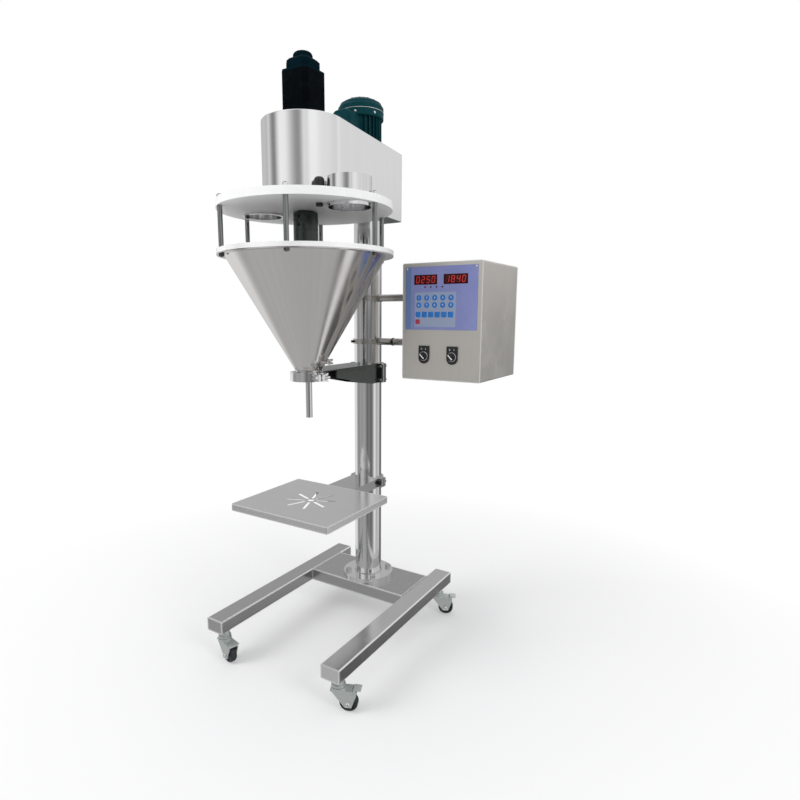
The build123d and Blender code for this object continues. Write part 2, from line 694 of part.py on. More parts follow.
def hopper_bracket():
    """Two tapering side plates, a saddle plate round the hopper's neck and half a column clamp."""
    half = BRACKET_WIDTH / 2
    split = -CLAMP_SPLIT / 2
    low = BRACKET_BOTTOM
    clamp_front = -CLAMP_BORE - CLAMP_WALL
    outline = [(-BRACKET_NECK_REACH, BRACKET_TOP), (split, BRACKET_TOP), (split, low), (clamp_front, low),
               (-BRACKET_NECK_REACH, BRACKET_TOP - BRACKET_NECK_HEIGHT)]
    bracket = block(-half, half, clamp_front, split, low, BRACKET_TOP)
    bracket += plate_yz(outline, -half, -half + BRACKET_PLATE)
    bracket += plate_yz(outline, half - BRACKET_PLATE, half)
    saddle = block(-half, half, HOPPER_Y, clamp_front, BRACKET_TOP - SADDLE_THICK, BRACKET_TOP)
    bracket += saddle - at_hopper(disc(NECK_RADIUS + RUNNING_GAP, BRACKET_TOP - SADDLE_THICK, BRACKET_TOP))
    bracket += clamp_ears(low, BRACKET_TOP, split - CLAMP_EAR_THICK, split)
    return bracket - disc(CLAMP_BORE, low, BRACKET_TOP) - clamp_bolt_holes(bracket_bolt_heights())


def post_angles():
    """Where the lid posts stand round the hopper."""
    return [POST_TURN + 360 * i / POST_COUNT for i in range(POST_COUNT)]


def hopper_half(side):
    """Half of the cone with its rim, half ferrule and seam strips: side 1 is the rear, -1 the front."""
    inner_top = CONE_TOP_RADIUS - CONE_WALL_ACROSS
    inner_neck = NECK_RADIUS - HOPPER_WALL
    ferrule_face = FERRULE_FACE + GASKET_THICK / 2
    ferrule_top = ferrule_face + FERRULE_THICK
    half = turned([(inner_neck, ferrule_face), (FERRULE_RADIUS, ferrule_face),
                   (FERRULE_RADIUS, ferrule_top), (NECK_RADIUS, ferrule_top + FERRULE_THICK),
                   (NECK_RADIUS, CONE_BOTTOM), (CONE_TOP_RADIUS, RIM_BOTTOM), (RIM_RADIUS, RIM_BOTTOM),
                   (RIM_RADIUS, RIM_TOP), (inner_top, RIM_TOP), (inner_top, RIM_BOTTOM),
                   (inner_neck, CONE_BOTTOM)], 180)
    low = seam_bottom()
    strip_points = [(cone_radius(low) - HOPPER_WALL / 2, low), (cone_radius(low) + SEAM_STRIP_WIDTH, low),
                    (CONE_TOP_RADIUS + SEAM_STRIP_WIDTH, RIM_BOTTOM),
                    (CONE_TOP_RADIUS - HOPPER_WALL / 2, RIM_BOTTOM)]
    face = make_face(Polyline(*[(x, 0, z) for x, z in strip_points], close=True))
    strip = extrude(face, SEAM_STRIP_THICK, dir=(0, 1, 0))
    half += strip + mirror(strip, about=Plane.YZ)
    if side < 0:
        half = Rot(0, 0, 180) * half
    for angle in post_angles():
        x, y = polar(POST_CIRCLE, angle)
        if y * side > 0:
            half -= disc(POST_THREAD_RADIUS + THREAD_GAP, RIM_BOTTOM, RIM_TOP, x, y)
    for x, z in seam_screw_places():
        start = (x, -SEAM_STRIP_THICK, z)
        half -= rod(start, (0, 1, 0), SEAM_SCREW_RADIUS + THREAD_GAP, 2 * SEAM_STRIP_THICK)
    half += latch_lugs(side)
    return at_hopper(half)


def seam_bottom():
    """The height at which the seam strips start, under the latch."""
    return LATCH_BOTTOM - LATCH_HEIGHT / 2


def seam_screw_places():
    """The (x, z) of the screws up the left seam, from the hopper's axis."""
    low = seam_bottom() + SEAM_SCREW_INSET
    step = (RIM_BOTTOM - SEAM_SCREW_INSET - low) / (SEAM_SCREW_COUNT - 1)
    heights = [low + step * i for i in range(SEAM_SCREW_COUNT)]
    return [(-cone_radius(z) - SEAM_STRIP_WIDTH / 2, z) for z in heights]


def seam_screws():
    """The screws and nuts that join the two halves up the left seam."""
    screws = []
    for x, z in seam_screw_places():
        front = -SEAM_STRIP_THICK
        head = rod((x, front, z), (0, -1, 0), SEAM_SCREW_HEAD_RADIUS, SEAM_SCREW_HEAD)
        shank = rod((x, front, z), (0, 1, 0), SEAM_SCREW_RADIUS, 2 * SEAM_STRIP_THICK)
        nut = Plane(origin=(x, SEAM_STRIP_THICK, z), z_dir=(0, 1, 0)) * extrude(
            RegularPolygon(SEAM_SCREW_HEAD_RADIUS, 6), SEAM_SCREW_HEAD)
        screws.append(head + shank + nut)
    return at_hopper(Compound(screws))


def latch_x():
    """How far the seam latch's pin stands from the hopper's axis."""
    return cone_radius(LATCH_BOTTOM + LATCH_HEIGHT) + SEAM_STRIP_WIDTH + 2 * LATCH_PIN_RADIUS


def latch_lugs(side):
    """At the right seam, two lugs for the latch's pin on the rear half and a keeper on the front half."""
    ear = LATCH_HEIGHT / 2
    bar = LATCH_THICK / 2
    inner = cone_radius(LATCH_BOTTOM)
    reach = LATCH_LENGTH / 2
    middle = LATCH_BOTTOM + LATCH_HEIGHT / 2
    if side < 0:
        keeper_end = latch_x() - bar - RUNNING_GAP
        front = -reach + LATCH_THICK
        return block(inner, keeper_end, front, -SEAM_STRIP_THICK / 2, middle - bar, middle + bar)
    outer = latch_x() + 2 * LATCH_PIN_RADIUS
    lugs = Part()
    for z in (middle - ear, middle + bar + RUNNING_GAP):
        lugs += block(inner, outer, SEAM_STRIP_THICK / 2, reach, z, z + ear - bar - RUNNING_GAP)
    hole = LATCH_PIN_RADIUS + RUNNING_GAP
    return lugs - disc(hole, LATCH_BOTTOM, LATCH_BOTTOM + LATCH_HEIGHT, latch_x(), reach / 2)


def seam_latch():
    """A hook latch on an upright pin that closes round the front half's keeper, with a wire finger loop."""
    middle = LATCH_BOTTOM + LATCH_HEIGHT / 2
    bar = LATCH_THICK / 2
    reach = LATCH_LENGTH / 2
    x = latch_x()
    pin = disc(LATCH_PIN_RADIUS, LATCH_BOTTOM, LATCH_BOTTOM + LATCH_HEIGHT, x, reach / 2)
    hook_end = -reach + LATCH_THICK - RUNNING_GAP
    tip = hook_end - LATCH_THICK
    lever = block(x - bar, x + bar, tip, reach / 2 + LATCH_THICK, middle - bar, middle + bar)
    lever += block(x - bar - LATCH_THICK, x, tip, hook_end, middle - bar, middle + bar)
    loop_x = x + bar + LATCH_LOOP_RADIUS - LATCH_WIRE_RADIUS / 2
    loop = Rot(90, 0, 0) * Torus(LATCH_LOOP_RADIUS, LATCH_WIRE_RADIUS)
    return at_hopper(pin + lever + Pos(loop_x, -LATCH_LOOP_AHEAD, middle) * loop)


def neck_clamp():
    """A hinged two-piece clamp ring round the ferrules, with drilled ears for its bolt."""
    half_groove = FERRULE_THICK + GASKET_THICK / 2 + RUNNING_GAP
    groove = FERRULE_RADIUS + RUNNING_GAP
    lip = NECK_RADIUS + NECK_CLAMP_LIP
    slope = FERRULE_THICK
    band = turned([(groove, FERRULE_FACE - half_groove), (lip, FERRULE_FACE - half_groove - slope),
                   (lip, NECK_CLAMP_BOTTOM), (NECK_CLAMP_RADIUS, NECK_CLAMP_BOTTOM),
                   (NECK_CLAMP_RADIUS, NECK_CLAMP_TOP), (lip, NECK_CLAMP_TOP),
                   (lip, FERRULE_FACE + half_groove + slope), (groove, FERRULE_FACE + half_groove)])
    gap = NECK_CLAMP_SPLIT / 2
    inner = NECK_CLAMP_RADIUS - NECK_EAR_ROOT
    hinge_end = NECK_CLAMP_RADIUS + NECK_HINGE_REACH
    halves = []
    for sign in (-1, 1):
        y0, y1 = sorted((sign * gap, sign * (gap + NECK_EAR_THICK)))
        keep0, keep1 = sorted((sign * gap, sign * NECK_EAR_REACH))
        half = band & block(-NECK_EAR_REACH, NECK_EAR_REACH, keep0, keep1,
                            NECK_CLAMP_BOTTOM, NECK_CLAMP_TOP)
        ear = block(inner, NECK_EAR_REACH, y0, y1,
                    NECK_CLAMP_BOTTOM + NECK_EAR_INSET, NECK_CLAMP_TOP - NECK_EAR_INSET)
        hinge = block(-hinge_end, -inner, y0, y1,
                      NECK_CLAMP_BOTTOM + NECK_HINGE_INSET, NECK_CLAMP_TOP - NECK_HINGE_INSET)
        bolt_start = (NECK_EAR_REACH - NECK_BOLT_SETBACK, -NECK_EAR_REACH, FERRULE_FACE)
        half += ear + hinge
        half -= rod(bolt_start, (0, 1, 0), NECK_BOLT_RADIUS + RUNNING_GAP, 2 * NECK_EAR_REACH)
        halves.append(half)
    gasket = ring(FERRULE_RADIUS, NECK_RADIUS - HOPPER_WALL, FERRULE_FACE - GASKET_THICK / 2,
                  FERRULE_FACE + GASKET_THICK / 2)
    return at_hopper(Rot(0, 0, NECK_CLAMP_TURN) * Compound(halves + neck_link_and_bolt() + [gasket]))


def neck_link_and_bolt():
    """The clamp's hinge link and its threaded bolt."""
    outer = NECK_CLAMP_SPLIT / 2 + NECK_EAR_THICK
    x = NECK_EAR_REACH - NECK_BOLT_SETBACK
    head_radius = NECK_BOLT_RADIUS + NECK_BOLT_HEAD_WALL
    head = rod((x, -outer - NECK_EAR_THICK, FERRULE_FACE), (0, 1, 0), head_radius, NECK_EAR_THICK)
    length = 2 * outer + WING_NUT_LENGTH + 4 * THREAD_END
    bolt = head + rod((x, -outer, FERRULE_FACE), (0, 1, 0), NECK_BOLT_RADIUS, length)
    gap = NECK_CLAMP_SPLIT / 2
    link = block(-NECK_CLAMP_RADIUS - NECK_HINGE_REACH, -NECK_CLAMP_RADIUS + gap, -gap, gap,
                 NECK_CLAMP_BOTTOM + NECK_HINGE_INSET, NECK_CLAMP_TOP - NECK_HINGE_INSET)
    return [bolt, link]


def wing_nut():
    """The wing nut that draws the neck clamp shut."""
    start = NECK_CLAMP_SPLIT / 2 + NECK_EAR_THICK + RUNNING_GAP
    bore = NECK_BOLT_RADIUS + RUNNING_GAP
    hub = NECK_BOLT_RADIUS + WING_HUB_WALL
    wing_inner = NECK_BOLT_RADIUS + WING_HUB_WALL / 2
    nut = turned([(bore, 0), (hub, 0), (wing_inner, WING_NUT_LENGTH), (bore, WING_NUT_LENGTH)])
    top = WING_NUT_LENGTH + WING_RISE
    for sign in (-1, 1):
        points = [(sign * wing_inner, 0, WING_THICK), (sign * 0.8 * WING_SPAN, 0, WING_THICK + WING_RISE),
                  (sign * WING_SPAN, 0, top), (sign * 0.6 * WING_SPAN, 0, top),
                  (sign * wing_inner, 0, WING_NUT_LENGTH - WING_THICK / 2)]
        wing = extrude(make_face(Polyline(*points, close=True)), WING_THICK / 2, dir=(0, 1, 0), both=True)
        nut += wing - disc(bore, 0, 2 * WING_NUT_LENGTH)
    axis = Plane(origin=(NECK_EAR_REACH - NECK_BOLT_SETBACK, start, FERRULE_FACE), z_dir=(0, 1, 0))
    return at_hopper(Rot(0, 0, NECK_CLAMP_TURN) * (axis * nut))


def filling_nozzle():
    """The funnel plate under the neck and the long filling tube."""
    top = FERRULE_FACE - GASKET_THICK / 2
    under = top - FERRULE_THICK
    inner = NECK_RADIUS - HOPPER_WALL
    floor = NECK_CLAMP_BOTTOM + HOPPER_WALL
    return at_hopper(turned([(inner, top), (FERRULE_RADIUS, top), (FERRULE_RADIUS, under),
                             (NECK_RADIUS, under - FERRULE_THICK), (NECK_RADIUS, NECK_CLAMP_BOTTOM),
                             (NOZZLE_RADIUS, NECK_CLAMP_BOTTOM), (NOZZLE_RADIUS, NOZZLE_TIP),
                             (NOZZLE_BORE_RADIUS, NOZZLE_TIP), (NOZZLE_BORE_RADIUS, floor)]))


def lid_fitting_places():
    """Where the spout, the spare port and the level sensor stand, from the hopper's axis."""
    return (polar(SPOUT_PLACE_RADIUS, SPOUT_TURN), polar(PLUG_PLACE_RADIUS, PLUG_TURN),
            polar(SENSOR_PLACE_RADIUS, SENSOR_TURN))


def lid_disc():
    """The thick plastic lid with holes for the sleeve, posts, spout, spare port and sensor."""
    spout, plug, sensor = lid_fitting_places()
    lid = ring(LID_RADIUS, SLEEVE_RADIUS + SLEEVE_HOLE_GAP, LID_BOTTOM, LID_TOP)
    lid -= disc(SPOUT_RADIUS - SPOUT_SHOULDER + THREAD_GAP, LID_BOTTOM, LID_TOP, *spout)
    lid -= disc(PLUG_RADIUS + THREAD_GAP, LID_BOTTOM, LID_TOP, *plug)
    lid -= disc(SENSOR_PROBE_RADIUS + THREAD_GAP, LID_BOTTOM, LID_TOP, *sensor)
    for angle in post_angles():
        lid -= disc(POST_THREAD_RADIUS + THREAD_GAP, LID_BOTTOM, LID_TOP, *polar(POST_CIRCLE, angle))
    return at_hopper(lid)


def lid_posts():
    """Six round posts with a threaded spigot at each end."""
    posts = []
    low = RIM_BOTTOM - NUT_HEIGHT - THREAD_END
    high = LID_TOP + NUT_HEIGHT + THREAD_END
    for angle in post_angles():
        x, y = polar(POST_CIRCLE, angle)
        post = disc(POST_RADIUS, RIM_TOP, LID_BOTTOM, x, y)
        posts.append(post + disc(POST_THREAD_RADIUS, low, high, x, y))
    return at_hopper(Compound(posts))


def post_nuts():
    """A hexagon nut under the rim and on the lid for each post."""
    nuts = []
    bore = POST_THREAD_RADIUS + THREAD_GAP
    for angle in post_angles():
        x, y = polar(POST_CIRCLE, angle)
        for low in (RIM_BOTTOM - NUT_HEIGHT, LID_TOP):
            nut = Pos(x, y, low) * Rot(0, 0, angle) * extrude(RegularPolygon(NUT_RADIUS, 6), NUT_HEIGHT)
            nuts.append(nut - disc(bore, low, low + NUT_HEIGHT, x, y))
    return at_hopper(Compound(nuts))


def inlet_spout():
    """The round powder inlet, shouldered to sit on the lid."""
    bore = SPOUT_RADIUS - SPOUT_WALL
    spigot = SPOUT_RADIUS - SPOUT_SHOULDER
    bottom = LID_BOTTOM - SPOUT_BELOW
    top = LID_TOP + SPOUT_HEIGHT
    x, y = lid_fitting_places()[0]
    spout = turned([(bore, bottom), (spigot, bottom), (spigot, LID_TOP), (SPOUT_RADIUS, LID_TOP),
                    (SPOUT_RADIUS, top), (bore, top)])
    return at_hopper(Pos(x, y, 0) * spout)


def spare_port_plug():
    """The hollow plug that closes the lid's spare port from below."""
    x, y = lid_fitting_places()[1]
    low = LID_BOTTOM - PLUG_FLANGE_THICK
    bore = PLUG_RADIUS - PLUG_WALL
    ceiling = LID_TOP - PLUG_TOP_THICK
    flange = PLUG_RADIUS + PLUG_FLANGE
    plug = turned([(bore, low), (flange, low), (flange, LID_BOTTOM), (PLUG_RADIUS, LID_BOTTOM),
                   (PLUG_RADIUS, LID_TOP), (0, LID_TOP), (0, ceiling), (bore, ceiling)])
    return at_hopper(Pos(x, y, 0) * plug)


def level_sensor():
    """The powder level sensor: a domed body on the lid and a probe through it."""
    x, y = lid_fitting_places()[2]
    body = disc(SENSOR_RADIUS, LID_TOP, LID_TOP + SENSOR_HEIGHT)
    body = fillet(body.edges().group_by(Axis.Z)[-1], SENSOR_DOME)
    probe = disc(SENSOR_PROBE_RADIUS, LID_BOTTOM - SENSOR_PROBE_LENGTH, LID_TOP)
    return at_hopper(Pos(x, y, 0) * (body + probe))


def head_outline(inset):
    """The head's plan: round at the auger, tapering to a square back with rounded corners."""
    corner = HEAD_BACK_CORNER - inset
    x = HEAD_BACK_HALF_WIDTH - HEAD_BACK_CORNER
    y = HEAD_BACK - HEAD_BACK_CORNER
    edges = (Pos(0, HOPPER_Y) * Circle(HEAD_FRONT_RADIUS - inset)).edges()
    for sign in (-1, 1):
        edges += (Pos(sign * x, y) * Circle(corner)).edges()
    return make_hull(edges)


def drive_housing():
    """The polished sheet cover over the drive, open underneath."""
    shell = Pos(0, 0, LID_TOP) * extrude(head_outline(0.0), HEAD_HEIGHT)
    shell = fillet(shell.edges().group_by(Axis.Z)[-1], HEAD_EDGE_RADIUS)
    shell -= Pos(0, 0, LID_TOP) * extrude(head_outline(HEAD_SHEET), HEAD_HEIGHT - HEAD_SHEET)
    shell -= at_hopper(disc(COUPLING_RADIUS, MOTOR_PLATE_TOP, HEAD_TOP))
    return shell - disc(COUPLING_RADIUS, MOTOR_PLATE_TOP, HEAD_TOP, 0, AGITATOR_Y)


def head_plate():
    """The head's floor plate, with the closed socket that sits on the column's top."""
    plate = Pos(0, 0, LID_TOP) * extrude(head_outline(HEAD_SHEET + THREAD_GAP), HEAD_PLATE_THICK)
    plate -= at_hopper(disc(SLEEVE_RADIUS + SLEEVE_HOLE_GAP, LID_TOP, HEAD_PLATE_TOP))
    plate += disc(CLAMP_BORE + SOCKET_WALL, HEAD_PLATE_TOP, HEAD_PLATE_TOP + SOCKET_DEPTH)
    return plate - disc(CLAMP_BORE, LID_TOP, COLUMN_TOP)


def motor_plate():
    """The plate under the cover's top that both motors bolt to, on four welded pillars."""
    outline = extrude(head_outline(HEAD_SHEET + THREAD_GAP), MOTOR_PLATE_THICK)
    plate = Pos(0, 0, MOTOR_PLATE_BOTTOM) * outline
    plate -= at_hopper(disc(COUPLING_RADIUS, MOTOR_PLATE_BOTTOM, MOTOR_PLATE_TOP))
    plate -= disc(COUPLING_RADIUS, MOTOR_PLATE_BOTTOM, MOTOR_PLATE_TOP, 0, AGITATOR_Y)
    places = [(PILLAR_FRONT_SPREAD, -PILLAR_FRONT_REACH), (PILLAR_BACK_SPREAD, PILLAR_BACK_REACH)]
    for spread, y in places:
        for x in (-spread, spread):
            plate += disc(PILLAR_RADIUS, HEAD_PLATE_TOP, MOTOR_PLATE_BOTTOM, x, y)
    return plate


def sleeve_bearings():
    """The round block on the floor plate and the two sealed ball bearings in it."""
    housing = ring(BEARING_BLOCK_RADIUS, BEARING_RADIUS + THREAD_GAP, HEAD_PLATE_TOP, BEARING_BLOCK_TOP)
    middle = (HEAD_PLATE_TOP + BEARING_BLOCK_TOP) / 2
    spacer = BEARING_BLOCK_HEIGHT / 2 - BEARING_WIDTH
    shoulder = BEARING_RADIUS - BEARING_SHOULDER
    housing += ring(BEARING_BLOCK_RADIUS, shoulder, middle - spacer, middle + spacer)
    pieces = [housing]
    for low in (HEAD_PLATE_TOP, BEARING_BLOCK_TOP - BEARING_WIDTH):
        pieces.append(ring(BEARING_RADIUS, SLEEVE_RADIUS + RUNNING_GAP, low, low + BEARING_WIDTH))
    return at_hopper(Compound(pieces))


def agitator_sleeve():
    """The hollow drive sleeve with its two-part hub under the lid."""
    groove = HUB_RADIUS - HUB_GROOVE
    sleeve = turned([(SLEEVE_BORE_RADIUS, HUB_BOTTOM), (HUB_RADIUS - HUB_GROOVE, HUB_BOTTOM),
                     (HUB_RADIUS, HUB_BOTTOM + HUB_GROOVE), (HUB_RADIUS, HUB_SPLIT - HUB_GROOVE),
                     (groove, HUB_SPLIT - HUB_GROOVE), (groove, HUB_SPLIT), (HUB_RADIUS, HUB_SPLIT),
                     (HUB_RADIUS, HUB_TOP), (SLEEVE_RADIUS, HUB_TOP), (SLEEVE_RADIUS, SLEEVE_TOP),
                     (SLEEVE_BORE_RADIUS, SLEEVE_TOP)])
    top = HUB_TOP - HUB_UPPER_LENGTH / 4
    screws = []
    for z in (top, top - HUB_SCREW_PITCH):
        screw = rod((0, -groove, z), (0, -1, 0), HUB_SCREW_RADIUS, HUB_SCREW_HEAD + HUB_GROOVE)
        sleeve -= screw
        screws.append(screw)
    return at_hopper(Compound([sleeve] + screws))


def agitator_blades():
    """Two bent blades that sweep the cone's wall, hung from the hub."""
    top = HUB_BOTTOM
    low_arm = top - BLADE_WIDTH
    run = math.hypot(1.0, CONE_SLOPE)
    clear = (BLADE_WALL_GAP + HOPPER_WALL) * run
    width = BLADE_WIDTH * run
    tip = BLADE_TIP_HEIGHT
    outer_tip = cone_radius(tip) - clear
    inner_bend = cone_radius(low_arm) - clear - width
    outline = [(SLEEVE_BORE_RADIUS, top), (cone_radius(top) - clear, top), (outer_tip, tip),
               (outer_tip - BLADE_TIP_WIDTH, tip), (inner_bend, low_arm), (SLEEVE_BORE_RADIUS, low_arm)]
    blades = ring(HUB_RADIUS - HUB_GROOVE, SLEEVE_BORE_RADIUS, low_arm, top)
    for sign in (-1, 1):
        face = make_face(Polyline(*[(sign * x, 0, z) for x, z in outline], close=True))
        blades += extrude(face, BLADE_THICK / 2, dir=(0, 1, 0), both=True)
    return at_hopper(blades - disc(SLEEVE_BORE_RADIUS, low_arm, top))


def pulley(radius, bore):
    """A flanged belt pulley between the belt drive's two heights."""
    half = BELT_WIDTH / 2 + SEAT_GAP
    floor = radius - PULLEY_GROOVE_DEPTH
    return turned([(bore, PULLEY_BOTTOM), (radius, PULLEY_BOTTOM), (radius, PULLEY_MIDDLE - half),
                   (floor, PULLEY_MIDDLE - half), (floor, PULLEY_MIDDLE + half),
                   (radius, PULLEY_MIDDLE + half), (radius, PULLEY_TOP), (bore, PULLEY_TOP)])


def driven_pulley():
    """The large pulley on the agitator sleeve, its hub standing on the bearing block."""
    hub = ring(PULLEY_HUB_RADIUS, SLEEVE_RADIUS, BEARING_BLOCK_TOP + RUNNING_GAP, PULLEY_BOTTOM)
    return at_hopper(pulley(DRIVEN_PULLEY_RADIUS, SLEEVE_RADIUS) + hub)


def drive_pulley():
    """The small pulley with the agitator motor's shaft."""
    shaft = disc(AGITATOR_SHAFT_RADIUS, PULLEY_BOTTOM, HEAD_TOP + AGITATOR_SHAFT_SOCKET - SEAT_GAP)
    return Pos(0, AGITATOR_Y, 0) * (pulley(DRIVE_PULLEY_RADIUS, AGITATOR_SHAFT_RADIUS) + shaft)


def drive_belt():
    """The endless belt round both pulleys."""
    driven = DRIVEN_PULLEY_RADIUS - PULLEY_GROOVE_DEPTH + RUNNING_GAP
    drive = DRIVE_PULLEY_RADIUS - PULLEY_GROOVE_DEPTH + RUNNING_GAP
    loops = []
    for grow in (BELT_THICK, 0.0):
        edges = (Pos(0, HOPPER_Y) * Circle(driven + grow)).edges()
        edges += (Pos(0, AGITATOR_Y) * Circle(drive + grow)).edges()
        loops.append(extrude(make_hull(edges), BELT_WIDTH))
    return Pos(0, 0, PULLEY_MIDDLE - BELT_WIDTH / 2) * (loops[0] - loops[1])


def chamfered_square(width, chamfer, z0, z1):
    """An upright square bar with its corners cut off."""
    half = width / 2
    cut = half - chamfer
    points = [(half, -cut), (half, cut), (cut, half), (-cut, half),
              (-half, cut), (-half, -cut), (-cut, -half), (cut, -half)]
    return Pos(0, 0, z0) * extrude(make_face(Polyline(*points, close=True)), z1 - z0)


def auger_motor():
    """The square servo motor body with its mounting flange."""
    flange_top = HEAD_TOP + AUGER_FLANGE_THICK
    waist = AUGER_MOTOR_WIDTH - 2 * AUGER_FLANGE_GROOVE
    groove_top = flange_top + AUGER_FLANGE_GROOVE
    motor = chamfered_square(AUGER_MOTOR_WIDTH, AUGER_MOTOR_CHAMFER / 2, HEAD_TOP, flange_top)
    motor += chamfered_square(waist, AUGER_MOTOR_CHAMFER, flange_top, groove_top)
    motor += chamfered_square(AUGER_MOTOR_WIDTH, AUGER_MOTOR_CHAMFER, groove_top, AUGER_MOTOR_TOP)
    socket = AUGER_DRIVE_RADIUS + RUNNING_GAP
    motor -= disc(socket, HEAD_TOP, HEAD_TOP + AUGER_SHAFT_SOCKET)
    return at_hopper(Compound([motor, encoder_cover()]))


def encoder_cover():
    """The smaller cover on top of the auger motor, with its round cap."""
    cover = chamfered_square(ENCODER_WIDTH, ENCODER_CHAMFER, AUGER_MOTOR_TOP, ENCODER_TOP)
    cover = chamfer(cover.edges().group_by(Axis.Z)[-1], ENCODER_SLOPE)
    cap = disc(KNOB_RADIUS, ENCODER_TOP, ENCODER_TOP + KNOB_HEIGHT)
    return cover + fillet(cap.edges().group_by(Axis.Z)[-1], KNOB_DOME)


def agitator_motor():
    """The finned motor body on its round flange, with the shaft's bore underneath."""
    flange_top = HEAD_TOP + AGITATOR_FLANGE_THICK
    top = flange_top + AGITATOR_BODY_HEIGHT
    motor = disc(AGITATOR_FLANGE_RADIUS, HEAD_TOP, flange_top)
    motor += disc(AGITATOR_BODY_RADIUS, flange_top, top)
    half = AGITATOR_FIN_THICK / 2
    fin = block(AGITATOR_BODY_RADIUS - half, AGITATOR_FIN_RADIUS, -half, half, flange_top, top)
    for i in range(AGITATOR_FIN_COUNT):
        motor += Rot(0, 0, (i + 0.5) * 360 / AGITATOR_FIN_COUNT) * fin
    motor -= terminal_space()
    socket = AGITATOR_SHAFT_RADIUS + RUNNING_GAP
    motor -= disc(socket, HEAD_TOP, HEAD_TOP + AGITATOR_SHAFT_SOCKET)
    return Pos(0, AGITATOR_Y, 0) * Compound([motor, terminal_box()])


def terminal_space():
    """The room that the terminal box takes up on the front of the finned body."""
    low = HEAD_TOP + TERMINAL_BOTTOM_LIFT
    half = TERMINAL_WIDTH / 2
    back = -AGITATOR_BODY_RADIUS * math.cos(math.asin(half / AGITATOR_FIN_RADIUS))
    return block(-half, half, -AGITATOR_FIN_RADIUS - TERMINAL_DEPTH, back, low, low + TERMINAL_HEIGHT)


def terminal_box():
    """The cable box on the front of the agitator motor."""
    low = HEAD_TOP + TERMINAL_BOTTOM_LIFT
    top = HEAD_TOP + AGITATOR_FLANGE_THICK + AGITATOR_BODY_HEIGHT
    box = terminal_space()
    box = fillet(box.edges().filter_by(Axis.Y).group_by(Axis.Z)[-1], TERMINAL_ROUND)
    box = fillet(box.edges().group_by(Axis.Y)[0], TERMINAL_EDGE)
    box -= disc(AGITATOR_BODY_RADIUS, low, low + TERMINAL_HEIGHT)
    return box - disc(COWL_RADIUS + RUNNING_GAP, top, low + TERMINAL_HEIGHT)


def motor_cowl():
    """The fan cowl on top of the agitator motor, with a lip and a domed crown."""
    low = HEAD_TOP + AGITATOR_FLANGE_THICK + AGITATOR_BODY_HEIGHT
    high = low + COWL_HEIGHT
    lip = high - COWL_LIP
    crown = high + COWL_DOME
    cowl = turned([(0, low), (COWL_RADIUS - COWL_LIP, low), (COWL_RADIUS, low + COWL_LIP),
                   (COWL_RADIUS, lip), (COWL_RADIUS - COWL_LIP, high),
                   (COWL_RADIUS * 0.9, high + COWL_DOME * 0.45),
                   (COWL_RADIUS * 0.68, high + COWL_DOME * 0.85), (COWL_RADIUS * 0.4, crown), (0, crown)])
    return Pos(0, AGITATOR_Y, 0) * cowl


def auger_coupling():
    """The clamp coupling and the servo shaft that it grips."""
    groove = COUPLING_RADIUS - COUPLING_GROOVE
    middle = (COUPLING_BOTTOM + COUPLING_TOP) / 2
    low = middle - COUPLING_GROOVE
    high = middle + COUPLING_GROOVE
    body = turned([(0, COUPLING_BOTTOM), (COUPLING_RADIUS, COUPLING_BOTTOM), (COUPLING_RADIUS, low),
                   (groove, low), (groove, high), (COUPLING_RADIUS, high),
                   (COUPLING_RADIUS, COUPLING_TOP), (0, COUPLING_TOP)])
    shaft_top = HEAD_TOP + AUGER_SHAFT_SOCKET - SEAT_GAP
    return at_hopper(body + disc(AUGER_DRIVE_RADIUS, COUPLING_TOP, shaft_top))


def auger_screw():
    """The long shaft, tapering to a core that carries the screw flight through the nozzle."""
    tip = AUGER_TIP
    taper = AUGER_FLIGHT_TOP + AUGER_TAPER
    core = turned([(0, tip), (AUGER_CORE_RADIUS, tip), (AUGER_CORE_RADIUS, AUGER_FLIGHT_TOP),
                   (AUGER_SHAFT_RADIUS, taper), (AUGER_SHAFT_RADIUS, COUPLING_BOTTOM),
                   (0, COUPLING_BOTTOM)])
    inner = AUGER_CORE_RADIUS - AUGER_FLIGHT_THICK / 2
    mean = (inner + AUGER_FLIGHT_RADIUS) / 2
    height = AUGER_FLIGHT_TOP - tip - 2 * AUGER_FLIGHT_THICK
    path = Helix(AUGER_PITCH, height, mean)
    section = Plane.XZ * Pos(mean, 0) * Rectangle(AUGER_FLIGHT_RADIUS - inner, AUGER_FLIGHT_THICK)
    flight = Pos(0, 0, tip + AUGER_FLIGHT_THICK) * sweep(section, path=path, is_frenet=True)
    return at_hopper(core + flight)


def control_arms():
    """Two arm tubes, each welded to a ring round the column and a pad on the box."""
    arms = []
    outer = CLAMP_BORE + ARM_RING_WALL
    pad = BOX_REACH - ARM_PAD_THICK
    for z in (ARM_UPPER_HEIGHT, ARM_LOWER_HEIGHT):
        low = z - ARM_RING_HEIGHT / 2
        high = z + ARM_RING_HEIGHT / 2
        tube = rod((COLUMN_RADIUS, 0, z), (1, 0, 0), ARM_TUBE_RADIUS, pad - COLUMN_RADIUS)
        tube -= rod((outer, 0, z), (1, 0, 0), ARM_TUBE_RADIUS - ARM_TUBE_WALL, pad - outer)
        arm = disc(outer, low, high) + tube
        arm -= disc(CLAMP_BORE, z - 2 * ARM_TUBE_RADIUS, z + 2 * ARM_TUBE_RADIUS)
        arm += rod((pad, 0, z), (1, 0, 0), ARM_PAD_RADIUS, ARM_PAD_THICK)
        x, y = polar(1.0, SET_SCREW_TURN)
        arm -= rod((0, 0, z), (x, y, 0), SET_SCREW_RADIUS + THREAD_GAP, 2 * outer)
        arms.append(arm)
    return Compound(arms)


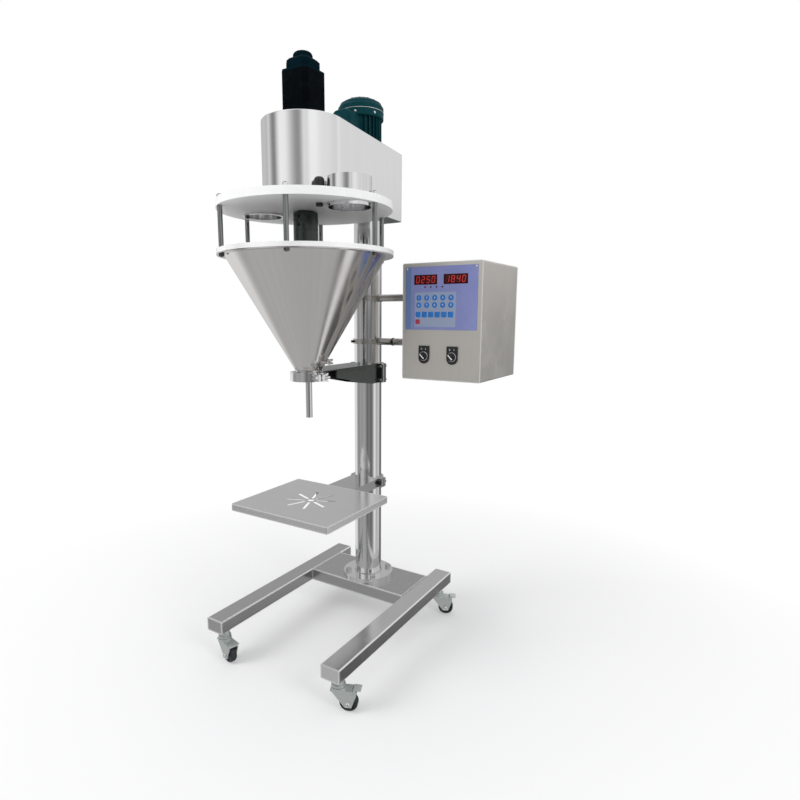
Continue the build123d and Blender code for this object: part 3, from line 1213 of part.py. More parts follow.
def arm_set_screws():
    """The screws that lock the arm rings to the column."""
    x, y = polar(1.0, SET_SCREW_TURN)
    start = CLAMP_BORE
    screws = []
    for z in (ARM_UPPER_HEIGHT, ARM_LOWER_HEIGHT):
        screws.append(rod((start * x, start * y, z), (x, y, 0), SET_SCREW_RADIUS, SET_SCREW_LENGTH))
    return screws


def selector_places():
    """The (x, z) of each selector switch on the box's front."""
    return [(BOX_REACH + x, BOX_BOTTOM + SELECTOR_HEIGHT) for x in SELECTOR_CENTRES]


def cover_screw_places():
    """The (x, z) of the rear cover's four screws."""
    x0 = BOX_REACH + BOX_COVER_SCREW_INSET
    x1 = BOX_RIGHT - BOX_COVER_SCREW_INSET
    z0 = BOX_BOTTOM + BOX_COVER_SCREW_INSET
    z1 = BOX_TOP - BOX_COVER_SCREW_INSET
    return [(x, z) for x in (x0, x1) for z in (z0, z1)]


def control_box():
    """The sheet-metal box, open at the back, with corner posts for the cover's screws."""
    back = -BOX_FRONT - BOX_SHEET
    outline = block(BOX_REACH, BOX_RIGHT, BOX_FRONT, back, BOX_BOTTOM, BOX_TOP)
    box = fillet(outline.edges().filter_by(Axis.Y), BOX_EDGE_RADIUS)
    box -= block(BOX_REACH + BOX_SHEET, BOX_RIGHT - BOX_SHEET, BOX_FRONT + BOX_SHEET, back,
                 BOX_BOTTOM + BOX_SHEET, BOX_TOP - BOX_SHEET)
    post = BOX_COVER_SCREW_INSET / 2
    for x, z in cover_screw_places():
        reach = BOX_COVER_SCREW_INSET - BOX_SHEET / 2
        x0, x1 = sorted((x + math.copysign(post, BOX_REACH + BOX_WIDTH / 2 - x),
                         x - math.copysign(reach, BOX_REACH + BOX_WIDTH / 2 - x)))
        z0, z1 = sorted((z + math.copysign(post, BOX_BOTTOM + BOX_HEIGHT / 2 - z),
                         z - math.copysign(reach, BOX_BOTTOM + BOX_HEIGHT / 2 - z)))
        box += block(x0, x1, back - 4 * BOX_COVER_SCREW_INSET, back, z0, z1)
        box -= rod((x, back, z), (0, -1, 0), BOX_SCREW_RADIUS + THREAD_GAP, 2 * BOX_COVER_SCREW_INSET)
    for x, z in selector_places():
        shaft_hole = SELECTOR_SHAFT_RADIUS + RUNNING_GAP
        box -= rod((x, BOX_FRONT, z - SELECTOR_KNOB_DROP), (0, 1, 0), shaft_hole, BOX_SHEET)
    return box


def box_back_cover():
    """The screwed plate on the back of the control box."""
    back = -BOX_FRONT
    plate = block(BOX_REACH, BOX_RIGHT, back - BOX_SHEET, back, BOX_BOTTOM, BOX_TOP)
    plate = fillet(plate.edges().filter_by(Axis.Y), BOX_EDGE_RADIUS)
    for x, z in cover_screw_places():
        plate -= rod((x, back, z), (0, -1, 0), BOX_SCREW_RADIUS + THREAD_GAP, BOX_SHEET)
    return plate


def cover_screws():
    """The four screws of the rear cover."""
    back = -BOX_FRONT
    screws = []
    for x, z in cover_screw_places():
        head = rod((x, back, z), (0, 1, 0), BOX_SCREW_HEAD_RADIUS, BOX_SCREW_RADIUS)
        screws.append(head + rod((x, back, z), (0, -1, 0), BOX_SCREW_RADIUS, BOX_COVER_SCREW_INSET))
    return screws


def control_panel():
    """The operator panel on the box's front, with the two digit displays sunk into its face."""
    x0 = BOX_REACH + PANEL_LEFT
    z0 = BOX_BOTTOM + PANEL_BOTTOM
    panel = block(x0, x0 + PANEL_WIDTH, BOX_FRONT - PANEL_THICK, BOX_FRONT, z0, z0 + PANEL_HEIGHT)
    top = z0 + PANEL_HEIGHT
    for left in DISPLAY_LEFTS:
        panel -= block(x0 + left, x0 + left + DISPLAY_WIDTH,
                       BOX_FRONT - PANEL_THICK, BOX_FRONT - DISPLAY_THICK,
                       top - DISPLAY_DROP, top - DISPLAY_DROP + DISPLAY_HEIGHT)
    return panel


def selector_plates():
    """The shield-shaped plates behind the selector knobs."""
    half = SELECTOR_PLATE_WIDTH / 2
    plates = []
    for x, z in selector_places():
        high = SELECTOR_PLATE_HEIGHT / 2
        outline = Polyline((-half, high), (half, high), (half, half - high))
        arc = ThreePointArc((half, half - high), (0, -high), (-half, half - high))
        side = Line((-half, half - high), (-half, high))
        plate = extrude(make_face(outline + arc + side), SELECTOR_PLATE_THICK)
        hole = SELECTOR_SHAFT_RADIUS + RUNNING_GAP
        plate -= disc(hole, 0, SELECTOR_PLATE_THICK, 0, -SELECTOR_KNOB_DROP)
        face = Plane(origin=(x, BOX_FRONT, z), x_dir=(1, 0, 0), z_dir=(0, -1, 0))
        plates.append(face * plate)
    return Compound(plates)


def selector_knob(index):
    """A turning knob with a raised grip bar and its shaft into the box."""
    x, z = selector_places()[index]
    low = SELECTOR_PLATE_THICK + RUNNING_GAP
    skirt = low + SELECTOR_KNOB_DEPTH
    knob = disc(SELECTOR_KNOB_RADIUS, low, skirt)
    knob = chamfer(knob.edges().group_by(Axis.Z)[-1], SELECTOR_KNOB_DEPTH / 6)
    half = SELECTOR_GRIP_WIDTH / 2
    reach = SELECTOR_GRIP_LENGTH / 2
    grip = block(-half, half, -reach, reach, low, low + SELECTOR_GRIP_DEPTH)
    shaft = disc(SELECTOR_SHAFT_RADIUS, low - SELECTOR_SHAFT_LENGTH, low)
    face = Plane(origin=(x, BOX_FRONT, z - SELECTOR_KNOB_DROP), x_dir=(1, 0, 0), z_dir=(0, -1, 0))
    return face * (Rot(0, 0, -SELECTOR_REST_TURN) * (knob + grip + shaft))


def subparts():
    """Every piece by its node's name."""
    parts = {
        "base_left_leg": base_leg(-1),
        "base_right_leg": base_leg(1),
        "base_cross_beam": base_cross_beam(),
        "caster_stems": caster_stems(),
        "column_flange": column_flange(),
        "column_tube": column_tube(),
        "frame_bolts": Compound(flange_bolts() + clamp_bolts(bracket_bolt_heights())),
        "work_table": work_table(),
        "table_arm": table_arm(),
        "table_clamp_cap": clamp_cap(TABLE_TOP - ARM_HEIGHT, TABLE_TOP, table_bolt_heights()),
        "table_bolts": Compound(clamp_bolts(table_bolt_heights())),
        "hopper_bracket": hopper_bracket(),
        "bracket_clamp_cap": clamp_cap(BRACKET_BOTTOM, BRACKET_TOP, bracket_bolt_heights()),
        "hopper_rear_half": hopper_half(1),
        "hopper_front_half": hopper_half(-1),
        "seam_screws": seam_screws(),
        "seam_latch": seam_latch(),
        "neck_clamp": neck_clamp(),
        "wing_nut": wing_nut(),
        "filling_nozzle": filling_nozzle(),
        "lid_disc": lid_disc(),
        "lid_posts": lid_posts(),
        "post_nuts": post_nuts(),
        "inlet_spout": inlet_spout(),
        "spare_port_plug": spare_port_plug(),
        "level_sensor": level_sensor(),
        "drive_housing": drive_housing(),
        "head_plate": head_plate(),
        "motor_plate": motor_plate(),
        "sleeve_bearings": sleeve_bearings(),
        "agitator_sleeve": agitator_sleeve(),
        "agitator_blades": agitator_blades(),
        "driven_pulley": driven_pulley(),
        "drive_pulley": drive_pulley(),
        "drive_belt": drive_belt(),
        "auger_motor": auger_motor(),
        "agitator_motor": agitator_motor(),
        "motor_cowl": motor_cowl(),
        "auger_coupling": auger_coupling(),
        "auger_screw": auger_screw(),
        "control_arms": control_arms(),
        "control_box": control_box(),
        "box_back_cover": box_back_cover(),
        "box_screws": Compound(arm_set_screws() + cover_screws()),
        "control_panel": control_panel(),
        "selector_plates": selector_plates(),
        "selector_knob_left": selector_knob(0),
        "selector_knob_right": selector_knob(1),
    }
    for corner in CASTER_HEADINGS:
        parts["caster_fork_" + corner] = placed_on_caster(caster_fork(), corner)
        parts["caster_wheel_" + corner] = placed_on_caster(caster_wheel(), corner)
        parts["caster_pedal_" + corner] = placed_on_caster(caster_pedal(), corner)
    return parts


def main():
    os.makedirs("parts", exist_ok=True)
    for name, shape in subparts().items():
        export_step(Pos(COLUMN_X, COLUMN_Y, 0) * shape, "parts/" + name + ".step")


if __name__ == "__main__":
    main()
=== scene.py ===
"""Looks of a wheeled column-stand auger powder filler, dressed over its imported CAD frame."""
import math

import bmesh
import bpy
import numpy as np
from mathutils import Matrix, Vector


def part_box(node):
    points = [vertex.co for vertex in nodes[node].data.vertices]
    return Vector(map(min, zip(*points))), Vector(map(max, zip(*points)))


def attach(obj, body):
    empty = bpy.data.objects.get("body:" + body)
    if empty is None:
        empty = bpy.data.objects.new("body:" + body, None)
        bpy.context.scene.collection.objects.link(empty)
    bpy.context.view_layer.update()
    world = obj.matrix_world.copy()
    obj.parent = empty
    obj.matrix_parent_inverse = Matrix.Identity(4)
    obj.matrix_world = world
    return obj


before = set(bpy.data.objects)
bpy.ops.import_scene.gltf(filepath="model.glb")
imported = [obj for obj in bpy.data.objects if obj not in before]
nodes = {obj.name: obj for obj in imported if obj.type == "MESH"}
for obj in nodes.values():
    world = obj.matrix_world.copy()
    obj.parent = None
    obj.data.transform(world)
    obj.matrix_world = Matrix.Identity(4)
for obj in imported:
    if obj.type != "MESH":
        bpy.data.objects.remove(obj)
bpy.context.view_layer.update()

# Lengths are in metres, or in millimetres times MM
MM = 0.001
X, Y, Z = np.eye(3)
# The upright axes of the column and of the hopper
COLUMN = np.array([-0.1025, 0.1975, 0.0])
HOPPER = np.array([-0.1025, -0.1145, 0.0])

# Sides of a thin round bar or bead, and the angle in degrees up to which it is shaded round
BAR_SIDES, BAR_SMOOTH = 8, 60.0
# Points on each quarter circle of a rounded pad
CORNER_POINTS = 7
# Shares of a weld bead's radius: what its ripples take, and what is left at its ends
RIPPLE, BEAD_END = 0.14, 0.15


def grid_faces(rows, columns, wrap_rows=False, wrap_columns=False):
    """Quads between neighbouring points of a rows by columns grid, closed in the directions that wrap."""
    i = np.arange(rows if wrap_rows else rows - 1)[:, None]
    j = np.arange(columns if wrap_columns else columns - 1)[None, :]
    after_i = (i + 1) % rows
    after_j = (j + 1) % columns
    corners = [i * columns + j, i * columns + after_j, after_i * columns + after_j, after_i * columns + j]
    return np.stack(corners, -1).reshape(-1, 4)


def make_piece(name, points, faces, material, body, sharp=35.0):
    """A mesh from computed points and faces, poles merged and faces turned outwards, that rides a body."""
    mesh = bpy.data.meshes.new(name)
    corners = np.asarray(points, float).reshape(-1, 3).tolist()
    mesh.from_pydata(corners, [], [list(map(int, face)) for face in faces])
    work = bmesh.new()
    work.from_mesh(mesh)
    bmesh.ops.remove_doubles(work, verts=work.verts, dist=1e-6)
    bmesh.ops.recalc_face_normals(work, faces=work.faces)
    work.to_mesh(mesh)
    work.free()
    mesh.polygons.foreach_set("use_smooth", np.ones(len(mesh.polygons), bool))
    mesh.set_sharp_from_angle(angle=math.radians(sharp))
    mesh.materials.append(material)
    piece = bpy.data.objects.new(name, mesh)
    bpy.context.scene.collection.objects.link(piece)
    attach(piece, body)
    return piece


def across(axis):
    """Two unit directions square to an axis and to each other."""
    axis = np.asarray(axis, float) / np.linalg.norm(axis)
    side = np.cross(Z if abs(axis[2]) < 0.9 else X, axis)
    side /= np.linalg.norm(side)
    return side, np.cross(axis, side)


def turned_points(profile, origin, axis, steps):
    """Point (k, u): origin + height k along the axis + radius k on a circle square to it at angle u."""
    profile = np.asarray(profile, float)
    axis = np.asarray(axis, float) / np.linalg.norm(axis)
    side, other = across(axis)
    u = np.linspace(0, 2 * np.pi, steps, endpoint=False)
    circle = np.cos(u)[:, None] * side + np.sin(u)[:, None] * other
    return np.asarray(origin) + profile[:, 1, None, None] * axis + profile[:, 0, None, None] * circle[None]


def turned_piece(name, profile, origin, axis, steps, material, body):
    """One turned shape, from (radius, height) points, as a piece."""
    points = turned_points(profile, origin, axis, steps)
    return make_piece(name, points, grid_faces(len(profile), steps, wrap_columns=True), material, body)


def turned_group(places, profile, axis, steps):
    """One turned shape repeated at many places, as stacked grids with their faces."""
    shape = turned_points(profile, (0, 0, 0), axis, steps)
    points = np.asarray(places, float)[:, None, None, :] + shape[None]
    faces = grid_faces(len(profile), steps, wrap_columns=True)
    shift = np.arange(len(places))[:, None, None] * len(profile) * steps
    return points.reshape(-1, 3), (faces[None] + shift).reshape(-1, 4)


def tube_points(path, radius, closed, up):
    """Point (k, u): path point k + radius k at angle u on a circle square to the path."""
    path = np.asarray(path, float)
    if closed:
        along = np.roll(path, -1, 0) - np.roll(path, 1, 0)
    else:
        along = np.gradient(path, axis=0)
    along /= np.linalg.norm(along, axis=1)[:, None]
    side = np.cross(along, np.asarray(up, float))
    side /= np.linalg.norm(side, axis=1)[:, None]
    other = np.cross(side, along)
    u = np.linspace(0, 2 * np.pi, BAR_SIDES, endpoint=False)
    reach = np.broadcast_to(np.asarray(radius, float), len(path))[:, None, None]
    ring = np.cos(u)[None, :, None] * side[:, None] + np.sin(u)[None, :, None] * other[:, None]
    return path[:, None] + reach * ring


def tube_bundle(name, paths, radius, closed, up, material, body):
    """Tubes along several paths of one length, stacked into one piece."""
    tubes = np.stack([tube_points(path, radius, closed, up) for path in paths])
    count = tubes.shape[1]
    shift = np.arange(len(tubes))[:, None, None] * count * BAR_SIDES
    faces = grid_faces(count, BAR_SIDES, closed, True)[None] + shift
    return make_piece(name, tubes, faces.reshape(-1, 4), material, body, BAR_SMOOTH)


def weld_bead(name, path, radius, pitch, closed, up, body, material):
    """A bead along a path whose radius swells once every pitch, as the ripples of a weld do."""
    path = np.asarray(path, float)
    steps = np.linalg.norm(np.diff(path, axis=0), axis=1)
    run = np.concatenate([[0.0], np.cumsum(steps)])
    swell = radius * (1 - RIPPLE + RIPPLE * np.abs(np.sin(np.pi * run / pitch)))
    if not closed:
        swell[[0, -1]] *= BEAD_END
    points = tube_points(path, swell, closed, up)
    faces = grid_faces(len(path), BAR_SIDES, closed, True)
    return make_piece(name, points, faces, material, body, BAR_SMOOTH)


def line(start, end, count):
    """Evenly spaced points from start to end."""
    t = np.linspace(0, 1, count)[:, None]
    return np.asarray(start, float) * (1 - t) + np.asarray(end, float) * t


def circle_path(centre, radius, count):
    """Points round a level circle."""
    u = np.linspace(0, 2 * np.pi, count, endpoint=False)[:, None]
    return np.asarray(centre, float) + radius * (np.cos(u) * X + np.sin(u) * Y)


def rounded_outline(half_width, half_height, corner):
    """Points round a rectangle whose corners are arcs: corner centre + corner radius at an angle."""
    u = np.linspace(0, np.pi / 2, CORNER_POINTS)[None] + np.arange(4)[:, None] * np.pi / 2
    signs = np.array([[1, 1], [-1, 1], [-1, -1], [1, -1]], float)
    centres = signs * [half_width - corner, half_height - corner]
    arcs = centres[:, None] + corner * np.stack([np.cos(u), np.sin(u)], -1)
    return arcs.reshape(-1, 2)


def pillow_group(places, half_width, half_height, corner, levels, right=X, up=Z):
    """Raised pads facing -Y: each ring is the outline drawn in by an inset and lifted by a rise."""
    rings = []
    for inset, rise in levels:
        radius = max(corner - inset, 0.05 * MM)
        flat = rounded_outline(half_width - inset, half_height - inset, radius)
        rings.append(flat[:, :1] * right + flat[:, 1:] * up - rise * Y)
    shape = np.stack(rings)
    count = shape.shape[1]
    points = np.asarray(places, float)[:, None, None, :] + shape[None]
    faces = grid_faces(len(levels), count, wrap_columns=True)
    shift = np.arange(len(places)) * shape.shape[0] * count
    quads = (faces[None] + shift[:, None, None]).reshape(-1, 4).tolist()
    top = (np.arange(count)[None] + (shape.shape[0] - 1) * count + shift[:, None]).tolist()
    base = (np.arange(count)[None, ::-1] + shift[:, None]).tolist()
    return points.reshape(-1, 3), quads + top + base


# Node helpers and shared node groups


def new_material(name):
    """An empty node material with its Principled shader wired to the output."""
    material = bpy.data.materials.new(name)
    material.use_nodes = True
    tree = material.node_tree
    return material, tree, tree.nodes["Principled BSDF"]


def join(tree, source, target):
    tree.links.new(source, target)


def new_group(name, inputs, outputs):
    """A shader node group with named sockets, (name, type, default), and their ends inside it."""
    tree = bpy.data.node_groups.new(name, "ShaderNodeTree")
    for label, kind, value in inputs:
        socket = tree.interface.new_socket(label, in_out="INPUT", socket_type=kind)
        if value is not None:
            socket.default_value = value
    for label, kind in outputs:
        tree.interface.new_socket(label, in_out="OUTPUT", socket_type=kind)
    return tree, tree.nodes.new("NodeGroupInput").outputs, tree.nodes.new("NodeGroupOutput").inputs


def math_node(tree, operation, first, second=None, clamp=False):
    """A Math node fed by sockets or by plain numbers."""
    node = tree.nodes.new("ShaderNodeMath")
    node.operation = operation
    node.use_clamp = clamp
    for socket, value in zip(node.inputs, (first, second)):
        if isinstance(value, (int, float)):
            socket.default_value = value
        elif value is not None:
            tree.links.new(value, socket)
    return node.outputs[0]


def vector_math(tree, operation, first, second=None, scale=None):
    """A Vector Math node fed by sockets or by a plain vector, and its outputs."""
    node = tree.nodes.new("ShaderNodeVectorMath")
    node.operation = operation
    for socket, value in zip(node.inputs, (first, second, None, scale)):
        if isinstance(value, tuple):
            socket.default_value = value
        elif value is not None:
            join(tree, value, socket)
    return node.outputs


def split(tree, vector):
    """The X, Y and Z of a vector."""
    node = tree.nodes.new("ShaderNodeSeparateXYZ")
    join(tree, vector, node.inputs[0])
    return node.outputs


def mix_shaders(tree, share, first, second):
    """The first shader, with a share of the second."""
    node = tree.nodes.new("ShaderNodeMixShader")
    for socket, value in zip(node.inputs, (share, first, second)):
        join(tree, value, socket)
    return node.outputs[0]


def noise(tree, vector, scale, detail=3.0, rough=0.55):
    """A noise texture's value at a vector."""
    node = tree.nodes.new("ShaderNodeTexNoise")
    node.inputs["Scale"].default_value = scale
    node.inputs["Detail"].default_value = detail
    node.inputs["Roughness"].default_value = rough
    join(tree, vector, node.inputs["Vector"])
    return node.outputs["Fac"]


FLOAT, VECTOR = "NodeSocketFloat", "NodeSocketVector"


def straight_grain_group():
    """Brush lines: noise drawn out along one direction by a stretch of the position."""
    tree, start, end = new_group(
        "straight_grain", [("Vector", VECTOR, None), ("Stretch", VECTOR, (900, 8, 900))], [("Lines", FLOAT)])
    scaled = vector_math(tree, "MULTIPLY", start["Vector"], start["Stretch"])[0]
    join(tree, noise(tree, scaled, 1.0, 4.0, 0.6), end["Lines"])
    return tree


def round_grain_group():
    """Brush lines on a turned piece: noise on the direction from an upright axis and on the height."""
    tree, start, end = new_group(
        "round_grain",
        [("Vector", VECTOR, None), ("Centre", VECTOR, (0, 0, 0)), ("Around", FLOAT, 60.0),
         ("Up", FLOAT, 2.0)], [("Lines", FLOAT)])
    offset = vector_math(tree, "SUBTRACT", start["Vector"], start["Centre"])[0]
    unit = vector_math(tree, "NORMALIZE", vector_math(tree, "MULTIPLY", offset, (1, 1, 0))[0])[0]
    around = vector_math(tree, "SCALE", unit, scale=start["Around"])[0]
    height = math_node(tree, "MULTIPLY", split(tree, offset)["Z"], start["Up"])
    lift = tree.nodes.new("ShaderNodeCombineXYZ")
    join(tree, height, lift.inputs["Z"])
    total = vector_math(tree, "ADD", around, lift.outputs[0])[0]
    join(tree, noise(tree, total, 1.0, 4.0, 0.6), end["Lines"])
    return tree


def smudge_group():
    """Handling marks: broad patches broken up by finer ones."""
    tree, start, end = new_group(
        "smudges", [("Vector", VECTOR, None), ("Size", FLOAT, 9.0)], [("Mask", FLOAT)])
    scaled = vector_math(tree, "SCALE", start["Vector"], scale=start["Size"])[0]
    broad = noise(tree, scaled, 1.0, 2.0)
    fine = noise(tree, scaled, 6.0, 5.0, 0.65)
    mixed = math_node(tree, "MULTIPLY", broad, fine)
    ramp = tree.nodes.new("ShaderNodeMapRange")
    ramp.interpolation_type = "SMOOTHSTEP"
    ramp.inputs["From Min"].default_value = 0.16
    ramp.inputs["From Max"].default_value = 0.42
    join(tree, mixed, ramp.inputs["Value"])
    join(tree, ramp.outputs[0], end["Mask"])
    return tree


def low_dust_group():
    """Floor dust: a mask that fades out with height and is broken up by noise."""
    tree, start, end = new_group(
        "low_dust", [("Vector", VECTOR, None), ("Top", FLOAT, 0.15)], [("Mask", FLOAT)])
    share = math_node(tree, "DIVIDE", split(tree, start["Vector"])["Z"], start["Top"])
    fade = math_node(tree, "SUBTRACT", 1.0, share, clamp=True)
    speck = noise(tree, start["Vector"], 130.0, 5.0, 0.7)
    join(tree, math_node(tree, "MULTIPLY", fade, speck), end["Mask"])
    return tree


def field_group():
    """A printed field: 1 inside a box of X and Z, 0 outside it."""
    tree, start, end = new_group(
        "printed_field",
        [("Vector", VECTOR, None), ("Left", FLOAT, 0.0), ("Right", FLOAT, 0.1), ("Low", FLOAT, 0.0),
         ("High", FLOAT, 0.1)], [("Mask", FLOAT)])
    parts = split(tree, start["Vector"])
    spans = []
    for axis, least, most in (("X", "Left", "Right"), ("Z", "Low", "High")):
        over = math_node(tree, "GREATER_THAN", parts[axis], start[least])
        under = math_node(tree, "LESS_THAN", parts[axis], start[most])
        spans.append(math_node(tree, "MULTIPLY", over, under))
    join(tree, math_node(tree, "MULTIPLY", *spans), end["Mask"])
    return tree


def box_edge_group():
    """Edges of a box, for rubbed wear and a painted edge highlight: for each axis, how near a point is to
    that axis's faces, joined two by two.
    """
    tree, start, end = new_group(
        "box_edges",
        [("Vector", VECTOR, None), ("Low", VECTOR, None), ("High", VECTOR, None), ("Width", FLOAT, 0.004)],
        [("Mask", FLOAT)])
    point, low, high = (start[label] for label in ("Vector", "Low", "High"))
    sides = [vector_math(tree, "SUBTRACT", *ends)[0] for ends in ((point, low), (high, point))]
    nearest = vector_math(tree, "MINIMUM", *sides)[0]
    away = [math_node(tree, "DIVIDE", part, start["Width"]) for part in split(tree, nearest)]
    near = [math_node(tree, "SUBTRACT", 1.0, share, clamp=True) for share in away]
    pairs = [math_node(tree, "MULTIPLY", near[k], near[(k + 1) % 3]) for k in range(3)]
    total = math_node(tree, "ADD", math_node(tree, "ADD", pairs[0], pairs[1]), pairs[2], clamp=True)
    join(tree, total, end["Mask"])
    return tree


def height_group():
    """1 above a height, 0 below it, with a short soft step."""
    tree, start, end = new_group(
        "above_height", [("Vector", VECTOR, None), ("Height", FLOAT, 1.0), ("Soft", FLOAT, 0.001)],
        [("Mask", FLOAT)])
    over = math_node(tree, "SUBTRACT", split(tree, start["Vector"])["Z"], start["Height"])
    join(tree, math_node(tree, "DIVIDE", over, start["Soft"], clamp=True), end["Mask"])
    return tree


GRAIN = straight_grain_group()
ROUND_GRAIN = round_grain_group()
SMUDGES = smudge_group()
LOW_DUST = low_dust_group()
FIELD = field_group()
EDGES = box_edge_group()
ABOVE = height_group()


def place_group(tree, group, values):
    """Puts a shared group into a material, fed with Object coordinates and its own values."""
    node = tree.nodes.new("ShaderNodeGroup")
    node.node_tree = group
    if "where" not in tree.nodes:
        tree.nodes.new("ShaderNodeTexCoord").name = "where"
    join(tree, tree.nodes["where"].outputs["Object"], node.inputs["Vector"])
    for label, value in values.items():
        node.inputs[label].default_value = value
    return node.outputs[0]


def spread(tree, value, low, high, source=(0.25, 0.75)):
    """A value mapped onto a range."""
    node = tree.nodes.new("ShaderNodeMapRange")
    node.inputs["From Min"].default_value, node.inputs["From Max"].default_value = source
    node.inputs["To Min"].default_value, node.inputs["To Max"].default_value = low, high
    join(tree, value, node.inputs["Value"])
    return node.outputs[0]


def blend(tree, mask, first, second):
    """A colour mix; each end is a colour or a socket."""
    node = tree.nodes.new("ShaderNodeMix")
    node.data_type = "RGBA"
    join(tree, mask, node.inputs["Factor"])
    for socket, value in ((node.inputs[6], first), (node.inputs[7], second)):
        if isinstance(value, tuple):
            socket.default_value = (*value, 1.0)
        else:
            join(tree, value, socket)
    return node.outputs[2]


def bump(tree, shader, height, strength, distance):
    """Feeds a height into the shader's normal."""
    node = tree.nodes.new("ShaderNodeBump")
    node.inputs["Strength"].default_value = strength
    node.inputs["Distance"].default_value = distance
    join(tree, height, node.inputs["Height"])
    join(tree, node.outputs["Normal"], shader.inputs["Normal"])


# Colours of floor dust on steel and on paint or rubber, of bright edges (rubbed wear with a painted
# highlight) and of the hopper rim's painted highlight
STEEL_DUST, PAINT_DUST = (0.33, 0.31, 0.28), (0.30, 0.28, 0.25)
RUBBED_EDGE_AND_HIGHLIGHT, RIM_HIGHLIGHT = (0.93, 0.93, 0.92), (0.92, 0.92, 0.91)
# Roughness that smudges add, as a share, and that the bright edges add; the share of metal under the painted
# rim highlight
SMUDGE_DULL, BRIGHT_EDGE_DULL, RIM_HIGHLIGHT_METAL = 0.35, 0.16, 0.25
# Strengths of the bump on steel and on moulded skins
STEEL_BUMP, SKIN_BUMP = 0.25, 0.3


def steel(name, color, shade, rough, grain=None, around=None, depth=0.00002, dust_top=None, edges=None,
          painted_highlight_from=None, metal=1.0):
    """Stainless steel: brush lines vary its tone and gloss, smudges dull it, edges are lightened as rubbed
    wear with a painted highlight, and a band above a height is a painted rim highlight.
    """
    material, tree, shader = new_material(name)
    shader.inputs["Metallic"].default_value = metal
    if grain:
        lines = place_group(tree, GRAIN, {"Stretch": grain})
    else:
        lines = place_group(tree, ROUND_GRAIN, {"Centre": around[0], "Around": around[1], "Up": around[2]})
    marks = place_group(tree, SMUDGES, {"Size": 9.0})
    dark = tuple(c * shade for c in color)
    tone = blend(tree, spread(tree, lines, 0.0, 1.0), dark, color)
    if dust_top:
        dust = place_group(tree, LOW_DUST, {"Top": dust_top})
        tone = blend(tree, spread(tree, dust, 0.0, 0.55, (0.2, 0.6)), tone, STEEL_DUST)
    gloss = math_node(tree, "ADD", spread(tree, lines, rough[0], rough[1]),
                      math_node(tree, "MULTIPLY", marks, SMUDGE_DULL * rough[0]))
    if edges:
        low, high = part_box(edges[0])
        # Bright edges: partly rubbed wear, partly a painted edge highlight
        edge_wear_and_highlight = place_group(tree, EDGES, {"Low": low, "High": high, "Width": edges[1]})
        edge_wear_and_highlight = spread(tree, edge_wear_and_highlight, 0.0, 1.0, (0.1, 0.5))
        tone = blend(tree, edge_wear_and_highlight, tone, RUBBED_EDGE_AND_HIGHLIGHT)
        gloss = math_node(tree, "ADD", gloss, math_node(tree, "MULTIPLY", edge_wear_and_highlight, BRIGHT_EDGE_DULL))
    if painted_highlight_from:
        # Painted highlight: a pale, mostly non-metal band above a height, for the hopper's rim
        rim_highlight = place_group(tree, ABOVE, {"Height": painted_highlight_from, "Soft": 0.0005})
        tone = blend(tree, rim_highlight, tone, RIM_HIGHLIGHT)
        join(tree, spread(tree, rim_highlight, metal, RIM_HIGHLIGHT_METAL, (0.0, 1.0)), shader.inputs["Metallic"])
    join(tree, tone, shader.inputs["Base Color"])
    join(tree, gloss, shader.inputs["Roughness"])
    bump(tree, shader, lines, STEEL_BUMP, depth)
    return material


def moulded(name, color, rough, speck_scale, depth, metallic=0.0, variation=0.12, shine=0.5, dust_top=None,
            top=None):
    """Plastic, paint or rubber: a skin of specks, patchy tone and gloss; top is (height, colour above it)."""
    material, tree, shader = new_material(name)
    shader.inputs["Metallic"].default_value = metallic
    shader.inputs["Specular IOR Level"].default_value = shine
    marks = place_group(tree, SMUDGES, {"Size": 14.0})
    where = tree.nodes["where"].outputs["Object"]
    skin = noise(tree, where, speck_scale, 4.0)
    light = tuple(min(c * (1 + variation) + 0.002, 1.0) for c in color)
    tone = blend(tree, marks, color, light)
    if top:
        tone = blend(tree, place_group(tree, ABOVE, {"Height": top[0]}), tone, top[1])
    if dust_top:
        dust = place_group(tree, LOW_DUST, {"Top": dust_top})
        tone = blend(tree, spread(tree, dust, 0.0, 0.6, (0.2, 0.6)), tone, PAINT_DUST)
    join(tree, tone, shader.inputs["Base Color"])
    join(tree, spread(tree, marks, rough[0], rough[1], (0.0, 1.0)), shader.inputs["Roughness"])
    bump(tree, shader, skin, SKIN_BUMP, depth)
    return material


# Fields printed on the panel, from its lower left corner: left, right, low, high, then their colours
KEYPAD_FIELD, EDGE_FIELD = (0.030, 0.156, 0.008, 0.103), (-0.01, 0.018, -0.01, 0.3)
KEYPAD_COLOR, EDGE_COLOR = (0.29, 0.345, 0.49), (0.13, 0.20, 0.40)
GROUND_COLORS = (0.205, 0.235, 0.485), (0.235, 0.262, 0.52)


def panel_film_material():
    """The operator panel's printed film: a paler keypad field on a periwinkle ground, with a matt skin."""
    material, tree, shader = new_material("panel_film")
    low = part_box("control_panel")[0]
    pad, edge = (
        place_group(tree, FIELD, {"Left": low.x + left, "Right": low.x + right, "Low": low.z + bottom,
                                  "High": low.z + top})
        for left, right, bottom, top in (KEYPAD_FIELD, EDGE_FIELD))
    marks = place_group(tree, SMUDGES, {"Size": 20.0})
    ground = blend(tree, edge, blend(tree, marks, *GROUND_COLORS), EDGE_COLOR)
    join(tree, blend(tree, pad, ground, KEYPAD_COLOR), shader.inputs["Base Color"])
    join(tree, spread(tree, marks, 0.32, 0.44, (0.0, 1.0)), shader.inputs["Roughness"])
    bump(tree, shader, noise(tree, tree.nodes["where"].outputs["Object"], 2500.0, 2.0), 0.15, 0.00001)
    return material


LIT_COLORS, LIT_GLOW = ((0.50, 0.025, 0.02), (0.58, 0.04, 0.03)), 0.32


